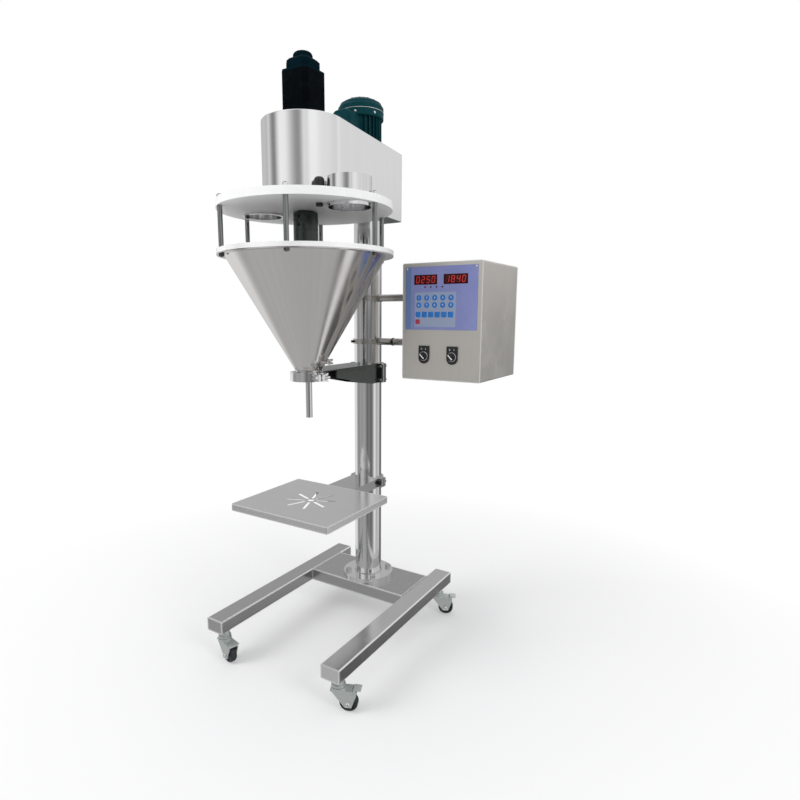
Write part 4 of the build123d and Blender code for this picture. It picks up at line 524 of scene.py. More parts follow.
def lit_digit_material():
    """Lit display segments: a red that glows, a little uneven along its length."""
    material, tree, shader = new_material("lit_digit")
    marks = place_group(tree, SMUDGES, {"Size": 90.0})
    color = blend(tree, marks, *LIT_COLORS)
    join(tree, color, shader.inputs["Base Color"])
    join(tree, color, shader.inputs["Emission Color"])
    shader.inputs["Emission Strength"].default_value = LIT_GLOW
    shader.inputs["Roughness"].default_value = 0.4
    return material


# Brush directions, and the heights where the hopper's painted rim highlight and the servo's encoder cover
# start
LENGTHWISE, SIDEWAYS = (700.0, 9.0, 700.0), (9.0, 700.0, 700.0)
RIM_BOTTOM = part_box("hopper_front_half")[1].z - 12 * MM
ENCODER_BOTTOM = 1.66
LEG_DUST, LEG_EDGE = 0.16, 0.005

column_steel = steel("polished_column", (0.80, 0.80, 0.81), 0.86, (0.07, 0.13),
                     around=(tuple(COLUMN), 55.0, 1.5))
# The cone's band above RIM_BOTTOM is a painted highlight on the rim
cone_steel = steel("satin_cone", (0.66, 0.642, 0.634), 0.95, (0.13, 0.17), around=(tuple(HOPPER), 14.0, 1.2),
                   depth=0.000008, painted_highlight_from=RIM_BOTTOM)
post_steel = steel("dark_post", (0.30, 0.315, 0.305), 0.75, (0.14, 0.22), grain=(400.0, 400.0, 8.0))
housing_steel = steel("polished_housing", (0.86, 0.86, 0.87), 0.95, (0.10, 0.17), grain=(60.0, 60.0, 2.0))
# One brushed steel for both legs, painted darker on the left as painted shade and lighter on the right as
# painted light
shaded_left_leg_steel = steel("brushed_left_leg_painted_shade", (0.56, 0.56, 0.56), 0.82, (0.14, 0.22), LENGTHWISE,
                       dust_top=LEG_DUST, edges=("base_left_leg", LEG_EDGE))
lit_right_leg_steel = steel("brushed_right_leg_painted_light", (0.74, 0.74, 0.74), 0.82, (0.14, 0.22), LENGTHWISE,
                        dust_top=LEG_DUST, edges=("base_right_leg", LEG_EDGE))
beam_steel = steel("brushed_beam", (0.52, 0.52, 0.52), 0.82, (0.2, 0.3), SIDEWAYS, dust_top=LEG_DUST,
                   edges=("base_cross_beam", LEG_EDGE))
bracket_steel = steel("dark_bracket", (0.13, 0.145, 0.135), 0.8, (0.2, 0.28), grain=(500.0, 10.0, 500.0),
                      edges=("hopper_bracket", 0.004))
cap_steel = steel("grey_clamp_cap", (0.27, 0.29, 0.275), 0.85, (0.24, 0.32), SIDEWAYS)
# Dark steel: the hub's own tone, and on the head plate a painted shade for its underside
hub_and_shaded_plate_steel = steel("dark_hub_and_shaded_plate", (0.07, 0.082, 0.078), 0.8, (0.22, 0.3), grain=(500.0, 500.0, 500.0))
table_steel = steel("bright_table", (0.69, 0.69, 0.69), 0.9, (0.13, 0.2), SIDEWAYS,
                    edges=("work_table", 0.0035), metal=0.8)
clamp_steel = steel("bright_clamp", (0.55, 0.55, 0.55), 0.9, (0.13, 0.2), SIDEWAYS)
box_steel = steel("hairline_box", (0.72, 0.695, 0.65), 0.9, (0.3, 0.4), grain=(800.0, 800.0, 9.0),
                  edges=("control_box", 0.003), metal=0.85)
chrome_steel = steel("bright_fitting", (0.82, 0.82, 0.82), 0.9, (0.08, 0.15), grain=(300.0, 300.0, 300.0))
arm_steel = steel("satin_arm", (0.60, 0.585, 0.56), 0.85, (0.2, 0.3), SIDEWAYS)
machined_steel = steel("machined_part", (0.55, 0.55, 0.56), 0.85, (0.22, 0.32), grain=(400.0, 400.0, 900.0))
zinc_steel = steel("zinc_plate", (0.80, 0.84, 0.83), 0.85, (0.40, 0.52), grain=(260.0, 260.0, 260.0),
                   dust_top=0.02)
weld_steel = steel("ground_weld", (0.62, 0.61, 0.60), 0.75, (0.25, 0.38), grain=(420.0, 420.0, 420.0))
black_oxide = moulded("black_oxide", (0.018, 0.018, 0.02), (0.32, 0.46), 900.0, 0.00002, metallic=0.5)
lid_plastic = moulded("white_lid", (0.86, 0.86, 0.855), (0.38, 0.5), 500.0, 0.00002, variation=0.03)
servo_paint = moulded("servo_black", (0.002, 0.003, 0.004), (0.42, 0.55), 1100.0, 0.00004, variation=0.4,
                      shine=0.006, top=(ENCODER_BOTTOM, (0.002, 0.010, 0.015)))
green_paint = moulded("motor_green", (0.004, 0.040, 0.047), (0.22, 0.32), 900.0, 0.00005, variation=0.25,
                      shine=0.03)
post_nut_finish = moulded("post_nut", (0.10, 0.10, 0.10), (0.3, 0.4), 900.0, 0.00002, metallic=0.7,
                          top=(RIM_BOTTOM + 0.06, (0.80, 0.80, 0.79)))
black_plastic = moulded("black_plastic", (0.012, 0.012, 0.013), (0.35, 0.5), 1500.0, 0.00002)
belt_rubber = moulded("belt_rubber", (0.016, 0.016, 0.016), (0.6, 0.75), 900.0, 0.00004)
tyre_rubber = moulded("caster_tyre", (0.014, 0.020, 0.023), (0.35, 0.5), 900.0, 0.00004, dust_top=0.012)
white_print = moulded("white_print", (0.80, 0.80, 0.80), (0.4, 0.5), 1500.0, 0.00001, variation=0.02)
key_blue = moulded("key_blue", (0.008, 0.16, 0.52), (0.34, 0.44), 1800.0, 0.00001, variation=0.2)
key_red = moulded("key_red", (0.40, 0.03, 0.07), (0.34, 0.44), 1800.0, 0.00001, variation=0.15)
display_window = moulded("display_window", (0.035, 0.002, 0.004), (0.06, 0.12), 600.0, 0.000005,
                         variation=0.3, shine=0.12)
dim_digit = moulded("dim_digit", (0.10, 0.008, 0.008), (0.2, 0.3), 900.0, 0.000005)
led_lens = moulded("led_lens", (0.05, 0.004, 0.02), (0.15, 0.25), 900.0, 0.000005)
panel_film = panel_film_material()
lit_digit = lit_digit_material()

FINISHES = (
    (column_steel, "column_tube inlet_spout"),
    (chrome_steel, "column_flange neck_clamp wing_nut filling_nozzle spare_port_plug auger_screw"),
    (shaded_left_leg_steel, "base_left_leg"), (lit_right_leg_steel, "base_right_leg"), (beam_steel, "base_cross_beam"),
    (machined_steel, "frame_bolts motor_plate sleeve_bearings driven_pulley drive_pulley auger_coupling"),
    (table_steel, "work_table"), (clamp_steel, "table_arm table_clamp_cap"),
    (black_oxide, "table_bolts box_screws"), (bracket_steel, "hopper_bracket"),
    (cap_steel, "bracket_clamp_cap"), (cone_steel, "hopper_rear_half hopper_front_half agitator_blades"),
    (lid_plastic, "lid_disc"), (post_steel, "lid_posts"), (post_nut_finish, "post_nuts"),
    (black_plastic, "level_sensor selector_plates selector_knob_left selector_knob_right"),
    # head_plate takes the dark hub steel as painted shade
    (housing_steel, "drive_housing"), (hub_and_shaded_plate_steel, "head_plate agitator_sleeve"), (belt_rubber, "drive_belt"),
    (servo_paint, "auger_motor"), (green_paint, "agitator_motor motor_cowl"), (arm_steel, "control_arms"),
    (box_steel, "control_box box_back_cover"), (panel_film, "control_panel"),
)
finish_of = {part: finish for finish, parts in FINISHES for part in parts.split()}
for name, node in nodes.items():
    if name.startswith("caster_wheel"):
        finish = tyre_rubber
    elif name.startswith("caster_"):
        finish = zinc_steel
    elif name.startswith("seam_"):
        finish = chrome_steel
    else:
        finish = finish_of[name]
    for holder in node.material_slots:
        holder.material = finish

# Operator panel: places and sizes on it are in millimetres

panel_low = np.array(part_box("control_panel")[0])
FACE_Y = panel_low[1]


def on_panel(x, z):
    """A point on the panel's face, from its lower left corner in millimetres."""
    places = panel_low[0] + np.asarray(x) * MM, FACE_Y, panel_low[2] + np.asarray(z) * MM
    return np.stack(np.broadcast_arrays(*places), -1)


def face_pads(name, x, z, size, levels, material):
    """Pads of one size, (width, height, corner radius), on the panel's face."""
    width, height, corner = size
    steps = [(inset * MM, rise * MM) for inset, rise in levels]
    places = on_panel(x, z).reshape(-1, 3)
    points, faces = pillow_group(places, width / 2 * MM, height / 2 * MM, corner * MM, steps)
    return make_piece(name, points, faces, material, "control_unit")


# (inset, rise) of each ring of a key and of a lamp, then their sizes
KEY_LEVELS = [(0.0, 0.0), (0.0, 0.35), (0.25, 0.6), (1.2, 0.85), (3.0, 1.0), (5.5, 1.05)]
LAMP_LEVELS = [(0.0, 0.0), (0.1, 0.5), (0.7, 1.1), (1.6, 1.5)]
ROUND_KEY, FUNCTION_KEY = (15.6, 15.6, 7.8), (15.6, 15.2, 2.6)
STOP_KEY, LAMP = (13.6, 13.0, 2.2), (5.0, 5.0, 2.5)
key_x, key_z = np.meshgrid(np.linspace(43.0, 141.5, 5), [88.0, 68.0])
face_pads("number_keys", key_x.ravel(), key_z.ravel(), ROUND_KEY, KEY_LEVELS, key_blue)
face_pads("function_keys", np.linspace(41.0, 141.0, 6), np.full(6, 42.0), FUNCTION_KEY, KEY_LEVELS, key_blue)
face_pads("stop_key", [40.0], [22.0], STOP_KEY, KEY_LEVELS, key_red)
face_pads("status_lamps", np.linspace(62.0, 115.0, 4), np.full(4, 117.5), LAMP, LAMP_LEVELS, led_lens)

# Heights of the printed numbers on keys and beside the switches, their thickness, and their place over a key
KEY_NUMBER, SWITCH_NUMBER, PRINT, KEY_TOP = 8.5 * MM, 8.0 * MM, 0.15 * MM, 1.1 * MM


def number_mesh(text, centre, size):
    """One number as flat mesh points and faces on an upright face looking towards -Y."""
    curve = bpy.data.curves.new("number", "FONT")
    curve.body = text
    curve.size = size
    curve.align_x = curve.align_y = "CENTER"
    curve.resolution_u = 3
    holder = bpy.data.objects.new("number", curve)
    mesh = bpy.data.meshes.new_from_object(holder)
    flat = np.zeros(len(mesh.vertices) * 3)
    mesh.vertices.foreach_get("co", flat)
    flat = flat.reshape(-1, 3)
    points = np.asarray(centre) + flat[:, :1] * X + flat[:, 1:2] * Z
    faces = [list(polygon.vertices) for polygon in mesh.polygons]
    bpy.data.objects.remove(holder)
    bpy.data.curves.remove(curve)
    bpy.data.meshes.remove(mesh)
    return points, faces


def numbers(name, texts, centres, size):
    """Printed numbers joined into one thin piece on the control box."""
    points, faces, base = [], [], 0
    for text, centre in zip(texts, centres):
        own, own_faces = number_mesh(text, centre, size)
        points.append(own)
        faces += [[base + k for k in face] for face in own_faces]
        base += len(own)
    piece = make_piece(name, np.concatenate(points), faces, white_print, "control_unit")
    solid = piece.modifiers.new("thickness", "SOLIDIFY")
    solid.thickness = PRINT
    solid.offset = 0.0
    return piece


key_tops = on_panel(key_x.ravel(), key_z.ravel())
key_tops[:, 1] -= KEY_TOP
numbers("key_numbers", list("1234567890"), key_tops, KEY_NUMBER)

# Digit displays: a window in each recess, with four seven-segment digits on it

SEGMENTS = {"0": "abcdef", "1": "bc", "2": "abged", "4": "fgbc", "5": "afgcd", "8": "abcdefg"}
DIGIT_WIDTH, DIGIT_HEIGHT, STROKE, SEGMENT_GAP = 8.6 * MM, 16.5 * MM, 1.9 * MM, 0.25 * MM
SLANT, SEGMENT_RISE, BAR_POINTS = 0.12, 0.25 * MM, 6
# The recess's depth, the middles of the two displays and the pitch of their digits, on the panel
RECESS, DISPLAY_X, DISPLAY_Z, DIGIT_PITCH = 0.6 * MM, (63.0, 154.0), 137.5, 16.0
# A window's half width, half height and corner, and the (inset, rise) of its rings
WINDOW = (35.8 * MM, 13.3 * MM, 0.6 * MM)
WINDOW_LEVELS = [(0, 0), (0, 0.25 * MM), (0.1 * MM, 0.3 * MM)]
WINDOW_Y = FACE_Y + RECESS - WINDOW_LEVELS[-1][1]


def segment_shapes():
    """The seven bars of a digit as pointed hexagons: {letter: six (x, z) points}, slanted to the right."""
    half, high = DIGIT_WIDTH / 2, DIGIT_HEIGHT / 2
    s, gap = STROKE / 2, SEGMENT_GAP
    flat = np.array([[-half + gap, 0], [-half + s + gap, s], [half - s - gap, s], [half - gap, 0],
                     [half - s - gap, -s], [-half + s + gap, -s]])
    tall = np.array([[0, gap], [s, s + gap], [s, high - s - gap], [0, high - gap], [-s, high - s - gap],
                     [-s, s + gap]])
    bars = {"a": flat + [0, high], "g": flat, "d": flat - [0, high], "b": tall + [half, 0],
            "f": tall - [half, 0], "c": tall + [half, -high], "e": tall - [half, high]}
    return {letter: bar + np.stack([bar[:, 1] * SLANT, 0 * bar[:, 1]], -1) for letter, bar in bars.items()}


def segment_plates(name, wanted, material):
    """Thin raised hexagons: two rings of six points per bar, the front one closed."""
    flat = np.stack(wanted)
    rings = np.stack([flat, flat], 1)
    depth = np.array([0.0, SEGMENT_RISE])[None, :, None]
    face = WINDOW_Y - np.broadcast_to(depth, rings.shape[:3])
    points = np.stack([rings[..., 0], face, rings[..., 1]], -1)
    shift = np.arange(len(wanted))[:, None] * 2 * BAR_POINTS
    sides = grid_faces(2, BAR_POINTS, wrap_columns=True)[None] + shift[..., None]
    fronts = np.arange(BAR_POINTS, 2 * BAR_POINTS)[None] + shift
    faces = sides.reshape(-1, 4).tolist() + fronts.tolist()
    return make_piece(name, points, faces, material, "control_unit", 20)


bars = segment_shapes()
lit, unlit = [], []
for middle, number in zip(DISPLAY_X, ("0250", "1840")):
    for index, digit in enumerate(number):
        place = on_panel(middle + DIGIT_PITCH * (index - 1.5), DISPLAY_Z)[[0, 2]]
        for letter, bar in bars.items():
            (lit if letter in SEGMENTS[digit] else unlit).append(bar + place)
segment_plates("lit_segments", lit, lit_digit)
segment_plates("dark_segments", unlit, dim_digit)
windows = on_panel(np.array(DISPLAY_X), np.full(2, DISPLAY_Z))
windows[:, 1] = FACE_Y + RECESS
points, faces = pillow_group(windows, *WINDOW, WINDOW_LEVELS)
make_piece("display_windows", points, faces, display_window, "control_unit")

# Panel screws, selector bezels and pointers: turned profiles are (radius, height) points

SCREW = np.array([(0.0, 0.0), (3.2, 0.0), (3.2, 0.5), (2.6, 1.3), (1.4, 1.7), (0.9, 1.75), (0.8, 1.1),
                  (0.0, 1.1)]) * MM
points, faces = turned_group(on_panel(np.array([5.0, 213.0]), np.array([168.0, 168.0])), SCREW, -Y, 24)
make_piece("panel_screws", points, faces, chrome_steel, "control_unit")

BEZEL = np.array([(11.2, 0.0), (13.2, 0.0), (13.2, 1.6), (12.6, 2.4), (11.7, 2.4), (11.2, 1.6),
                  (11.2, 0.0)]) * MM
# A pointer's half width, half length and corner, its rings, its turn at rest and its shift along the knob
POINTER = (1.5 * MM, 8.6 * MM, 0.6 * MM)
POINTER_LEVELS = [(0, 0), (0, 0.2 * MM), (0.3 * MM, 0.4 * MM)]
POINTER_TURN, POINTER_SHIFT = math.radians(45.0), -0.5 * MM
MARK_ASIDE, MARK_RISE = 6.5 * MM, 20.0 * MM
along = math.sin(POINTER_TURN) * -X + math.cos(POINTER_TURN) * Z
sideways = math.cos(POINTER_TURN) * X + math.sin(POINTER_TURN) * Z
plate_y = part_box("selector_plates")[0].y
for side in ("left", "right"):
    knob_low, knob_high = (np.array(c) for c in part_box("selector_knob_" + side))
    centre = np.array([(knob_low[0] + knob_high[0]) / 2, plate_y, (knob_low[2] + knob_high[2]) / 2])
    turned_piece("selector_bezel_" + side, BEZEL, centre, -Y, 48, chrome_steel, "control_unit")
    front = np.array([centre[0], knob_low[1], centre[2]])
    points, faces = pillow_group([front + along * POINTER_SHIFT], *POINTER, POINTER_LEVELS, sideways, along)
    make_piece("selector_pointer_" + side, points, faces, white_print, "selector_" + side)
    marks = [centre + aside * X + MARK_RISE * Z for aside in (-MARK_ASIDE, MARK_ASIDE)]
    numbers("selector_marks_" + side, ["0", "1"], marks, SWITCH_NUMBER)

# Cable tie on the lower arm

ARM_HEIGHTS = {"upper": 1.089, "lower": 0.951}
TIE_REACH = 96 * MM
TIE_BAND = np.array([(11.05, -2.2), (12.3, -2.2), (12.5, -1.8), (12.5, 1.8), (12.3, 2.2), (11.05, 2.2),
                     (11.05, -2.2)]) * MM
# The tie's head: half width, half height and corner, its rings, and its place in front of the arm
TIE_HEAD = (3.4 * MM, 3.6 * MM, 0.8 * MM)
TIE_LEVELS = [(0, -0.8 * MM), (0, 2.6 * MM), (0.5 * MM, 3.2 * MM)]
TIE_FRONT = 12.2 * MM
tie_at = np.array([COLUMN[0] + TIE_REACH, COLUMN[1], ARM_HEIGHTS["lower"]])
turned_piece("cable_tie_band", TIE_BAND, tie_at, X, 40, black_plastic, "control_unit")
points, faces = pillow_group([tie_at - TIE_FRONT * Y], *TIE_HEAD, TIE_LEVELS)
make_piece("cable_tie_head", points, faces, black_plastic, "control_unit")

# Motor trim: the cowl's bright band and its screws

COWL_BAND_RISE, COWL_SCREW_RISE = 20 * MM, 9 * MM
COWL_BAND_RADIUS, COWL_BAND_OUT, COWL_BAND_POINTS = 0.9 * MM, 0.2 * MM, 96
COWL_SCREW_ANGLES = np.radians([-70.0, -20.0, 70.0, 160.0])
COWL_SCREW = np.array([(0.0, -0.4), (3.6, -0.4), (3.6, 0.8), (2.8, 1.6), (1.2, 1.9), (0.0, 1.9)]) * MM
cowl_low, cowl_high = (np.array(c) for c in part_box("motor_cowl"))
cowl_axis = np.array([COLUMN[0], (cowl_low[1] + cowl_high[1]) / 2, 0.0])
cowl_radius = (cowl_high[0] - cowl_low[0]) / 2
band_at = cowl_axis + (cowl_low[2] + COWL_BAND_RISE) * Z
path = circle_path(band_at, cowl_radius + COWL_BAND_OUT, COWL_BAND_POINTS)
points = tube_points(path, COWL_BAND_RADIUS, True, Z)
faces = grid_faces(COWL_BAND_POINTS, BAR_SIDES, True, True)
make_piece("cowl_band", points, faces, chrome_steel, "frame")
for index, angle in enumerate(COWL_SCREW_ANGLES):
    outward = np.array([math.cos(angle), math.sin(angle), 0.0])
    place = cowl_axis + cowl_radius * outward + (cowl_low[2] + COWL_SCREW_RISE) * Z
    turned_piece("cowl_screw_%d" % index, COWL_SCREW, place, outward, 20, chrome_steel, "frame")

# Fan grille on the cowl's crown: rings and spokes that follow the dome

DOME_RADIUS = np.array([0.0, 27.6, 46.9, 62.1, 67.0]) * MM
DOME_HEIGHT = np.array([57.0, 57.0, 53.85, 45.45, 36.0]) * MM + cowl_low[2]
GRILLE_WIRE, RING_RADII, RING_POINTS = 1.5 * MM, np.array([12.0, 22.0, 32.0, 42.0]) * MM, 72
SPOKES, SPOKE_POINTS, SPOKE_START, SPOKE_END = 12, 30, 10.0 * MM, 48.0 * MM
paths = [circle_path(cowl_axis + np.interp(radius, DOME_RADIUS, DOME_HEIGHT) * Z, radius, RING_POINTS)
         for radius in RING_RADII]
tube_bundle("cowl_grille_rings", paths, GRILLE_WIRE, True, Z, green_paint, "frame")
r = np.linspace(SPOKE_START, SPOKE_END, SPOKE_POINTS)[None, :, None]
u = np.linspace(0, 2 * np.pi, SPOKES, endpoint=False)[:, None, None]
height = np.broadcast_to(np.interp(r, DOME_RADIUS, DOME_HEIGHT), (SPOKES, SPOKE_POINTS, 1))
paths = cowl_axis + np.concatenate([r * np.cos(u), r * np.sin(u), height], -1)
tube_bundle("cowl_grille_spokes", paths, GRILLE_WIRE, False, Z, green_paint, "frame")

# Terminal box gland, and the nuts on the caster axles

GLAND_AT = np.array([COLUMN[0] - 0.032, 0.074, 1.588])
GLAND = np.array([(0.0, -1.0), (11.0, -1.0), (11.0, 7.0), (9.6, 8.0), (9.6, 9.0), (11.4, 10.0), (11.4, 17.0),
                  (9.0, 22.0), (6.5, 23.5), (6.0, 23.5), (6.0, 19.0), (0.0, 19.0)]) * MM
turned_piece("terminal_gland", GLAND, GLAND_AT, -X, 32, green_paint, "frame")
AXLE_NUT = np.array([(0.0, 0.0), (8.0, 0.0), (8.0, 1.0), (6.6, 1.2), (6.6, 4.6), (5.6, 5.6), (3.4, 7.0),
                     (0.0, 7.6)]) * MM
# The stem's inset from its leg's end, the axle's trail, half the width over the fork's cheeks, the axle's
# height, and the casters' headings at rest
INSET, TRAIL, CHEEK, AXLE_HEIGHT = 38 * MM, 28 * MM, 16 * MM, 25 * MM
HEADINGS = {"front_left": -14.0, "front_right": 22.6, "back_left": 10.0, "back_right": 22.6}
for corner, heading in HEADINGS.items():
    low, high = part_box("base_%s_leg" % corner.split("_")[1])
    x = (low.x + high.x) / 2
    y = low.y + INSET if corner.startswith("front") else high.y - INSET
    turn = math.radians(heading)
    along = np.array([math.cos(turn), math.sin(turn), 0.0])
    aside = np.array([-math.sin(turn), math.cos(turn), 0.0])
    axle = np.array([x, y, AXLE_HEIGHT]) + TRAIL * along
    for mark, way in (("a", -aside), ("b", aside)):
        turned_piece("axle_nut_%s_%s" % (corner, mark), AXLE_NUT, axle + CHEEK * way, way, 24, chrome_steel,
                     "caster_" + corner)

# Weld beads: (radius, pitch of the ripples) of each kind, and the circles that the round ones follow

BEAM_TOP_BEAD, BEAM_END_BEAD = (1.1 * MM, 5 * MM), (1.6 * MM, 5 * MM)
FOOT_BEAD, ARM_BEAD = (2.2 * MM, 4.5 * MM), (1.6 * MM, 4 * MM)
FOOT_WELD_RADIUS, FOOT_WELD_RISE = 44.8 * MM, 0.4 * MM
ARM_WELD_RADIUS, ARM_WELD_POINTS, PAD_DEPTH = 11.2 * MM, 72, 4 * MM
beam_low, beam_high = (np.array(c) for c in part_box("base_cross_beam"))
for side, x in (("left", beam_low[0]), ("right", beam_high[0])):
    top = line((x, beam_low[1], beam_high[2]), (x, beam_high[1], beam_high[2]), 90)
    weld_bead("beam_weld_top_" + side, top, *BEAM_TOP_BEAD, False, Z, "frame", weld_steel)
    for end, y in (("front", beam_low[1]), ("back", beam_high[1])):
        upright = line((x, y, beam_low[2]), (x, y, beam_high[2]), 24)
        weld_bead("beam_weld_%s_%s" % (end, side), upright, *BEAM_END_BEAD, False, X, "frame", weld_steel)
flange_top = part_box("column_flange")[1].z
ring = circle_path(COLUMN + (flange_top + FOOT_WELD_RISE) * Z, FOOT_WELD_RADIUS, 180)
weld_bead("column_foot_weld", ring, *FOOT_BEAD, True, Z, "frame", weld_steel)

arms_low, arms_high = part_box("control_arms")
ring_radius = COLUMN[0] - arms_low.x
u = np.linspace(0, 2 * np.pi, ARM_WELD_POINTS, endpoint=False)
y, rise = ARM_WELD_RADIUS * np.cos(u), ARM_WELD_RADIUS * np.sin(u)
for mark, z in ARM_HEIGHTS.items():
    saddle = np.stack([COLUMN[0] + np.sqrt(ring_radius ** 2 - y ** 2), COLUMN[1] + y, z + rise], -1)
    weld_bead("arm_ring_weld_" + mark, saddle, *ARM_BEAD, True, X, "control_unit", weld_steel)
    foot = np.stack([np.full(ARM_WELD_POINTS, arms_high.x - PAD_DEPTH), COLUMN[1] + y, z + rise], -1)
    weld_bead("arm_pad_weld_" + mark, foot, *ARM_BEAD, True, X, "control_unit", weld_steel)

# Stage, light and camera

# The floor's disc, and where its shading starts and ends to turn into plain white
FLOOR_RADII, FLOOR_STEPS, FLOOR_FADE = np.array([0.0, 0.5, 2.0, 8.0, 40.0]), 64, (0.45, 1.6)
# Heights of a direction between which the room's layers blend: far down to low, low to high, high to white
UNDER, OVER, ZENITH = (-0.53, -0.37), (-0.01, 0.18), (0.62, 0.85)
EVEN_LIGHT = 0.56


def floor_material():
    """A pale floor that keeps the shadow near the machine and turns plain white further out."""
    material, tree, shader = new_material("pale_floor")
    shader.inputs["Base Color"].default_value = (0.92, 0.92, 0.92, 1.0)
    shader.inputs["Roughness"].default_value = 0.7
    where = tree.nodes.new("ShaderNodeTexCoord")
    away = vector_math(tree, "LENGTH", where.outputs["Object"])["Value"]
    fade = spread(tree, away, 0.25, 1.0, FLOOR_FADE)
    ray = tree.nodes.new("ShaderNodeLightPath")
    seen = math_node(tree, "MAXIMUM", ray.outputs["Is Camera Ray"], ray.outputs["Is Transmission Ray"])
    white = tree.nodes.new("ShaderNodeEmission")
    mix = mix_shaders(tree, math_node(tree, "MULTIPLY", fade, seen), shader.outputs[0], white.outputs[0])
    join(tree, mix, tree.nodes["Material Output"].inputs["Surface"])
    return material


def make_floor():
    """A flat disc under the machine, on a grid of radii and angles, that polished steel doesn't mirror."""
    u = np.linspace(0, 2 * np.pi, FLOOR_STEPS, endpoint=False)
    points = FLOOR_RADII[:, None, None] * np.stack([np.cos(u), np.sin(u), 0 * u], -1)[None]
    faces = grid_faces(len(FLOOR_RADII), FLOOR_STEPS, wrap_columns=True)
    mesh = bpy.data.meshes.new("floor")
    mesh.from_pydata(points.reshape(-1, 3).tolist(), [], faces.tolist())
    mesh.materials.append(floor_material())
    floor = bpy.data.objects.new("floor", mesh)
    floor.visible_glossy = False
    bpy.context.scene.collection.objects.link(floor)


# What polished steel sees round the machine, as (direction in degrees, tone): above eye level, just under it
# and far down
HIGH_BANDS = [(-180, 0.60), (-168, 0.54), (-160, 0.78), (-152, 0.50), (-143, 0.22), (-135, 0.28),
              (-127, 0.72), (-119, 1.0), (-102, 0.95), (-94, 0.77), (-86, 0.58), (-77, 0.37), (-69, 0.29),
              (-61, 0.39), (-53, 0.85), (-44, 0.78), (-36, 1.0), (-20, 1.0), (-11, 0.90), (-3, 0.86),
              (5, 0.84), (22, 0.82), (44, 0.74), (52, 0.92), (62, 0.78), (77, 0.76), (88, 0.56),
              (100, 0.55), (118, 0.52), (135, 0.53), (150, 0.55), (180, 0.60)]
LOW_BANDS = [(-180, 1.0), (-170, 0.80), (-163, 0.46), (-150, 0.32), (-138, 0.34), (-127, 0.42),
             (-116, 0.38), (-107, 0.36), (-97, 0.44), (-80, 0.38), (-71, 0.24), (-62, 0.15), (-53, 0.25),
             (-45, 0.23), (-36, 0.17), (-27, 0.17), (-18, 0.28), (-9, 0.64), (1, 1.0), (11, 0.75),
             (22, 0.50), (34, 0.65), (47, 0.72), (60, 0.36), (70, 0.14), (83, 0.20), (100, 0.24),
             (122, 0.30), (150, 0.80), (180, 1.0)]
DEEP_BANDS = [(-180, 0.56), (-132, 0.58), (-51, 0.54), (4, 0.56), (9, 0.50), (14, 0.14), (18, 0.20),
              (21, 1.0), (31, 1.0), (36, 0.35), (42, 0.12), (64, 0.11), (90, 0.12), (105, 0.22),
              (130, 0.42), (165, 0.55), (180, 0.56)]


def band_ramp(tree, turn, bands):
    """A colour ramp over one whole turn from (degrees, tone) stops."""
    ramp = tree.nodes.new("ShaderNodeValToRGB")
    join(tree, turn, ramp.inputs[0])
    elements = ramp.color_ramp.elements
    elements.remove(elements[1])
    for index, (degrees, tone) in enumerate(bands):
        place = degrees / 360 + 0.5
        element = elements[0] if index == 0 else elements.new(place)
        element.position = place
        element.color = (tone, tone, tone, 1)
    return ramp.outputs["Color"]


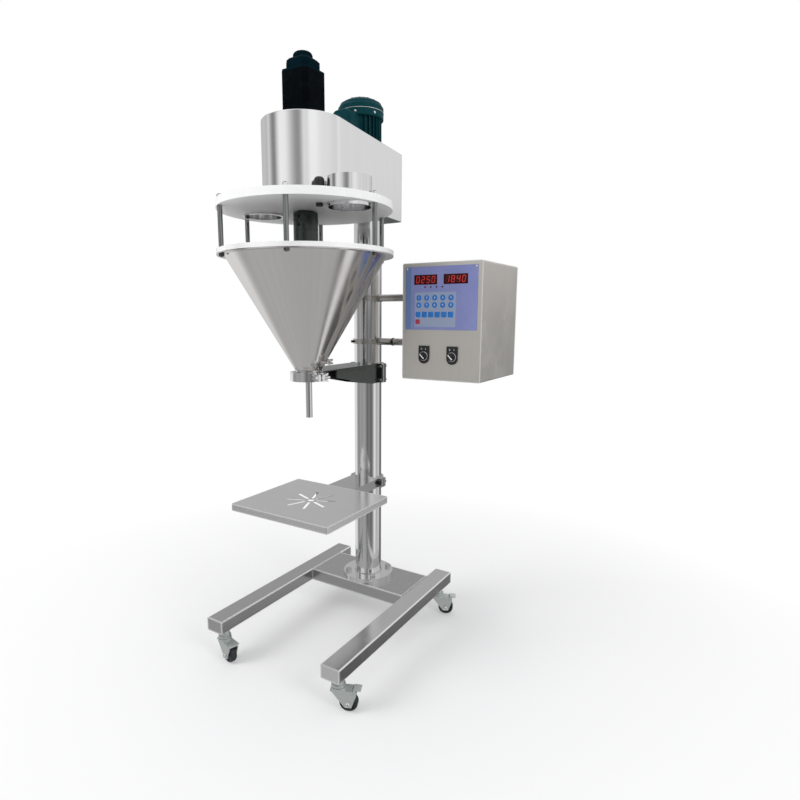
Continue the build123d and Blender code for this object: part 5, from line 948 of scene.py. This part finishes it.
def make_world():
    """White behind the machine; steel sees a room of upright bands; other light is even."""
    world = bpy.data.worlds.new("studio")
    bpy.context.scene.world = world
    world.use_nodes = True
    tree = world.node_tree
    tree.nodes.clear()
    where = tree.nodes.new("ShaderNodeTexCoord")
    parts = split(tree, where.outputs["Generated"])
    angle = math_node(tree, "ARCTAN2", parts["Y"], parts["X"])
    turn = math_node(tree, "MULTIPLY_ADD", angle, 0.5 / math.pi)
    turn.node.inputs[2].default_value = 0.5
    under, over, zenith = (spread(tree, parts["Z"], 0.0, 1.0, ends) for ends in (UNDER, OVER, ZENITH))
    room = blend(tree, under, band_ramp(tree, turn, DEEP_BANDS), band_ramp(tree, turn, LOW_BANDS))
    room = blend(tree, over, room, band_ramp(tree, turn, HIGH_BANDS))
    room = blend(tree, zenith, room, (1.0, 1.0, 1.0))
    ray = tree.nodes.new("ShaderNodeLightPath")
    even = tree.nodes.new("ShaderNodeBackground")
    even.inputs["Color"].default_value = (0.97, 0.98, 1.0, 1)
    even.inputs["Strength"].default_value = EVEN_LIGHT
    bands = tree.nodes.new("ShaderNodeBackground")
    join(tree, room, bands.inputs["Color"])
    white = tree.nodes.new("ShaderNodeBackground")
    white.inputs["Color"].default_value = (1, 1, 1, 1)
    mirrored = mix_shaders(tree, ray.outputs["Is Glossy Ray"], even.outputs[0], bands.outputs[0])
    seen = math_node(tree, "MAXIMUM", ray.outputs["Is Camera Ray"], ray.outputs["Is Transmission Ray"])
    final = mix_shaders(tree, seen, mirrored, white.outputs[0])
    join(tree, final, tree.nodes.new("ShaderNodeOutputWorld").inputs["Surface"])


def placed(right, up, back, place):
    """A matrix from three directions and a place."""
    rows = np.column_stack([right, up, back, place])
    return Matrix([*rows.tolist(), [0, 0, 0, 1]])


def softbox(name, place, size, power):
    """A rectangular lamp at a place, turned towards the machine, that polished steel doesn't mirror."""
    lamp = bpy.data.lights.new(name, "AREA")
    lamp.shape = "RECTANGLE"
    lamp.size, lamp.size_y = size
    lamp.energy = power
    holder = bpy.data.objects.new(name, lamp)
    back = np.asarray(place, float) - LAMP_TARGET
    back /= np.linalg.norm(back)
    right = np.cross(Z, back)
    right /= np.linalg.norm(right)
    up = np.cross(back, right)
    holder.matrix_world = placed(right, up, back, place)
    holder.visible_glossy = False
    bpy.context.scene.collection.objects.link(holder)


LAMP_TARGET = np.array([0.0, 0.0, 0.9])
make_floor()
make_world()
softbox("key_softbox", (-2.2, -2.6, 2.9), (1.6, 2.4), 84)
softbox("side_softbox", (2.9, -0.9, 1.8), (0.9, 2.2), 34)
softbox("top_softbox", (0.2, 0.4, 3.6), (2.2, 2.2), 10)

# The camera solved from the photograph's straight edges and circles
yaw, pitch = math.radians(32.63), math.radians(9.33)
CAMERA_AT, SENSOR, FOCAL, SHIFT = (0.9252, -1.3814, 1.037), 36.0, 25.59, (0.0346, 0.0100)
forward = np.array([-math.sin(yaw) * math.cos(pitch), math.cos(yaw) * math.cos(pitch), -math.sin(pitch)])
right = np.array([math.cos(yaw), math.sin(yaw), 0.0])
lens = bpy.data.cameras.new("photo_camera")
lens.sensor_width = SENSOR
lens.lens = FOCAL
lens.shift_x, lens.shift_y = SHIFT
camera = bpy.data.objects.new("photo_camera", lens)
camera.matrix_world = placed(right, np.cross(right, forward), -forward, CAMERA_AT)
bpy.context.scene.collection.objects.link(camera)
bpy.context.scene.camera = camera
bpy.context.scene.view_settings.view_transform = "Standard"
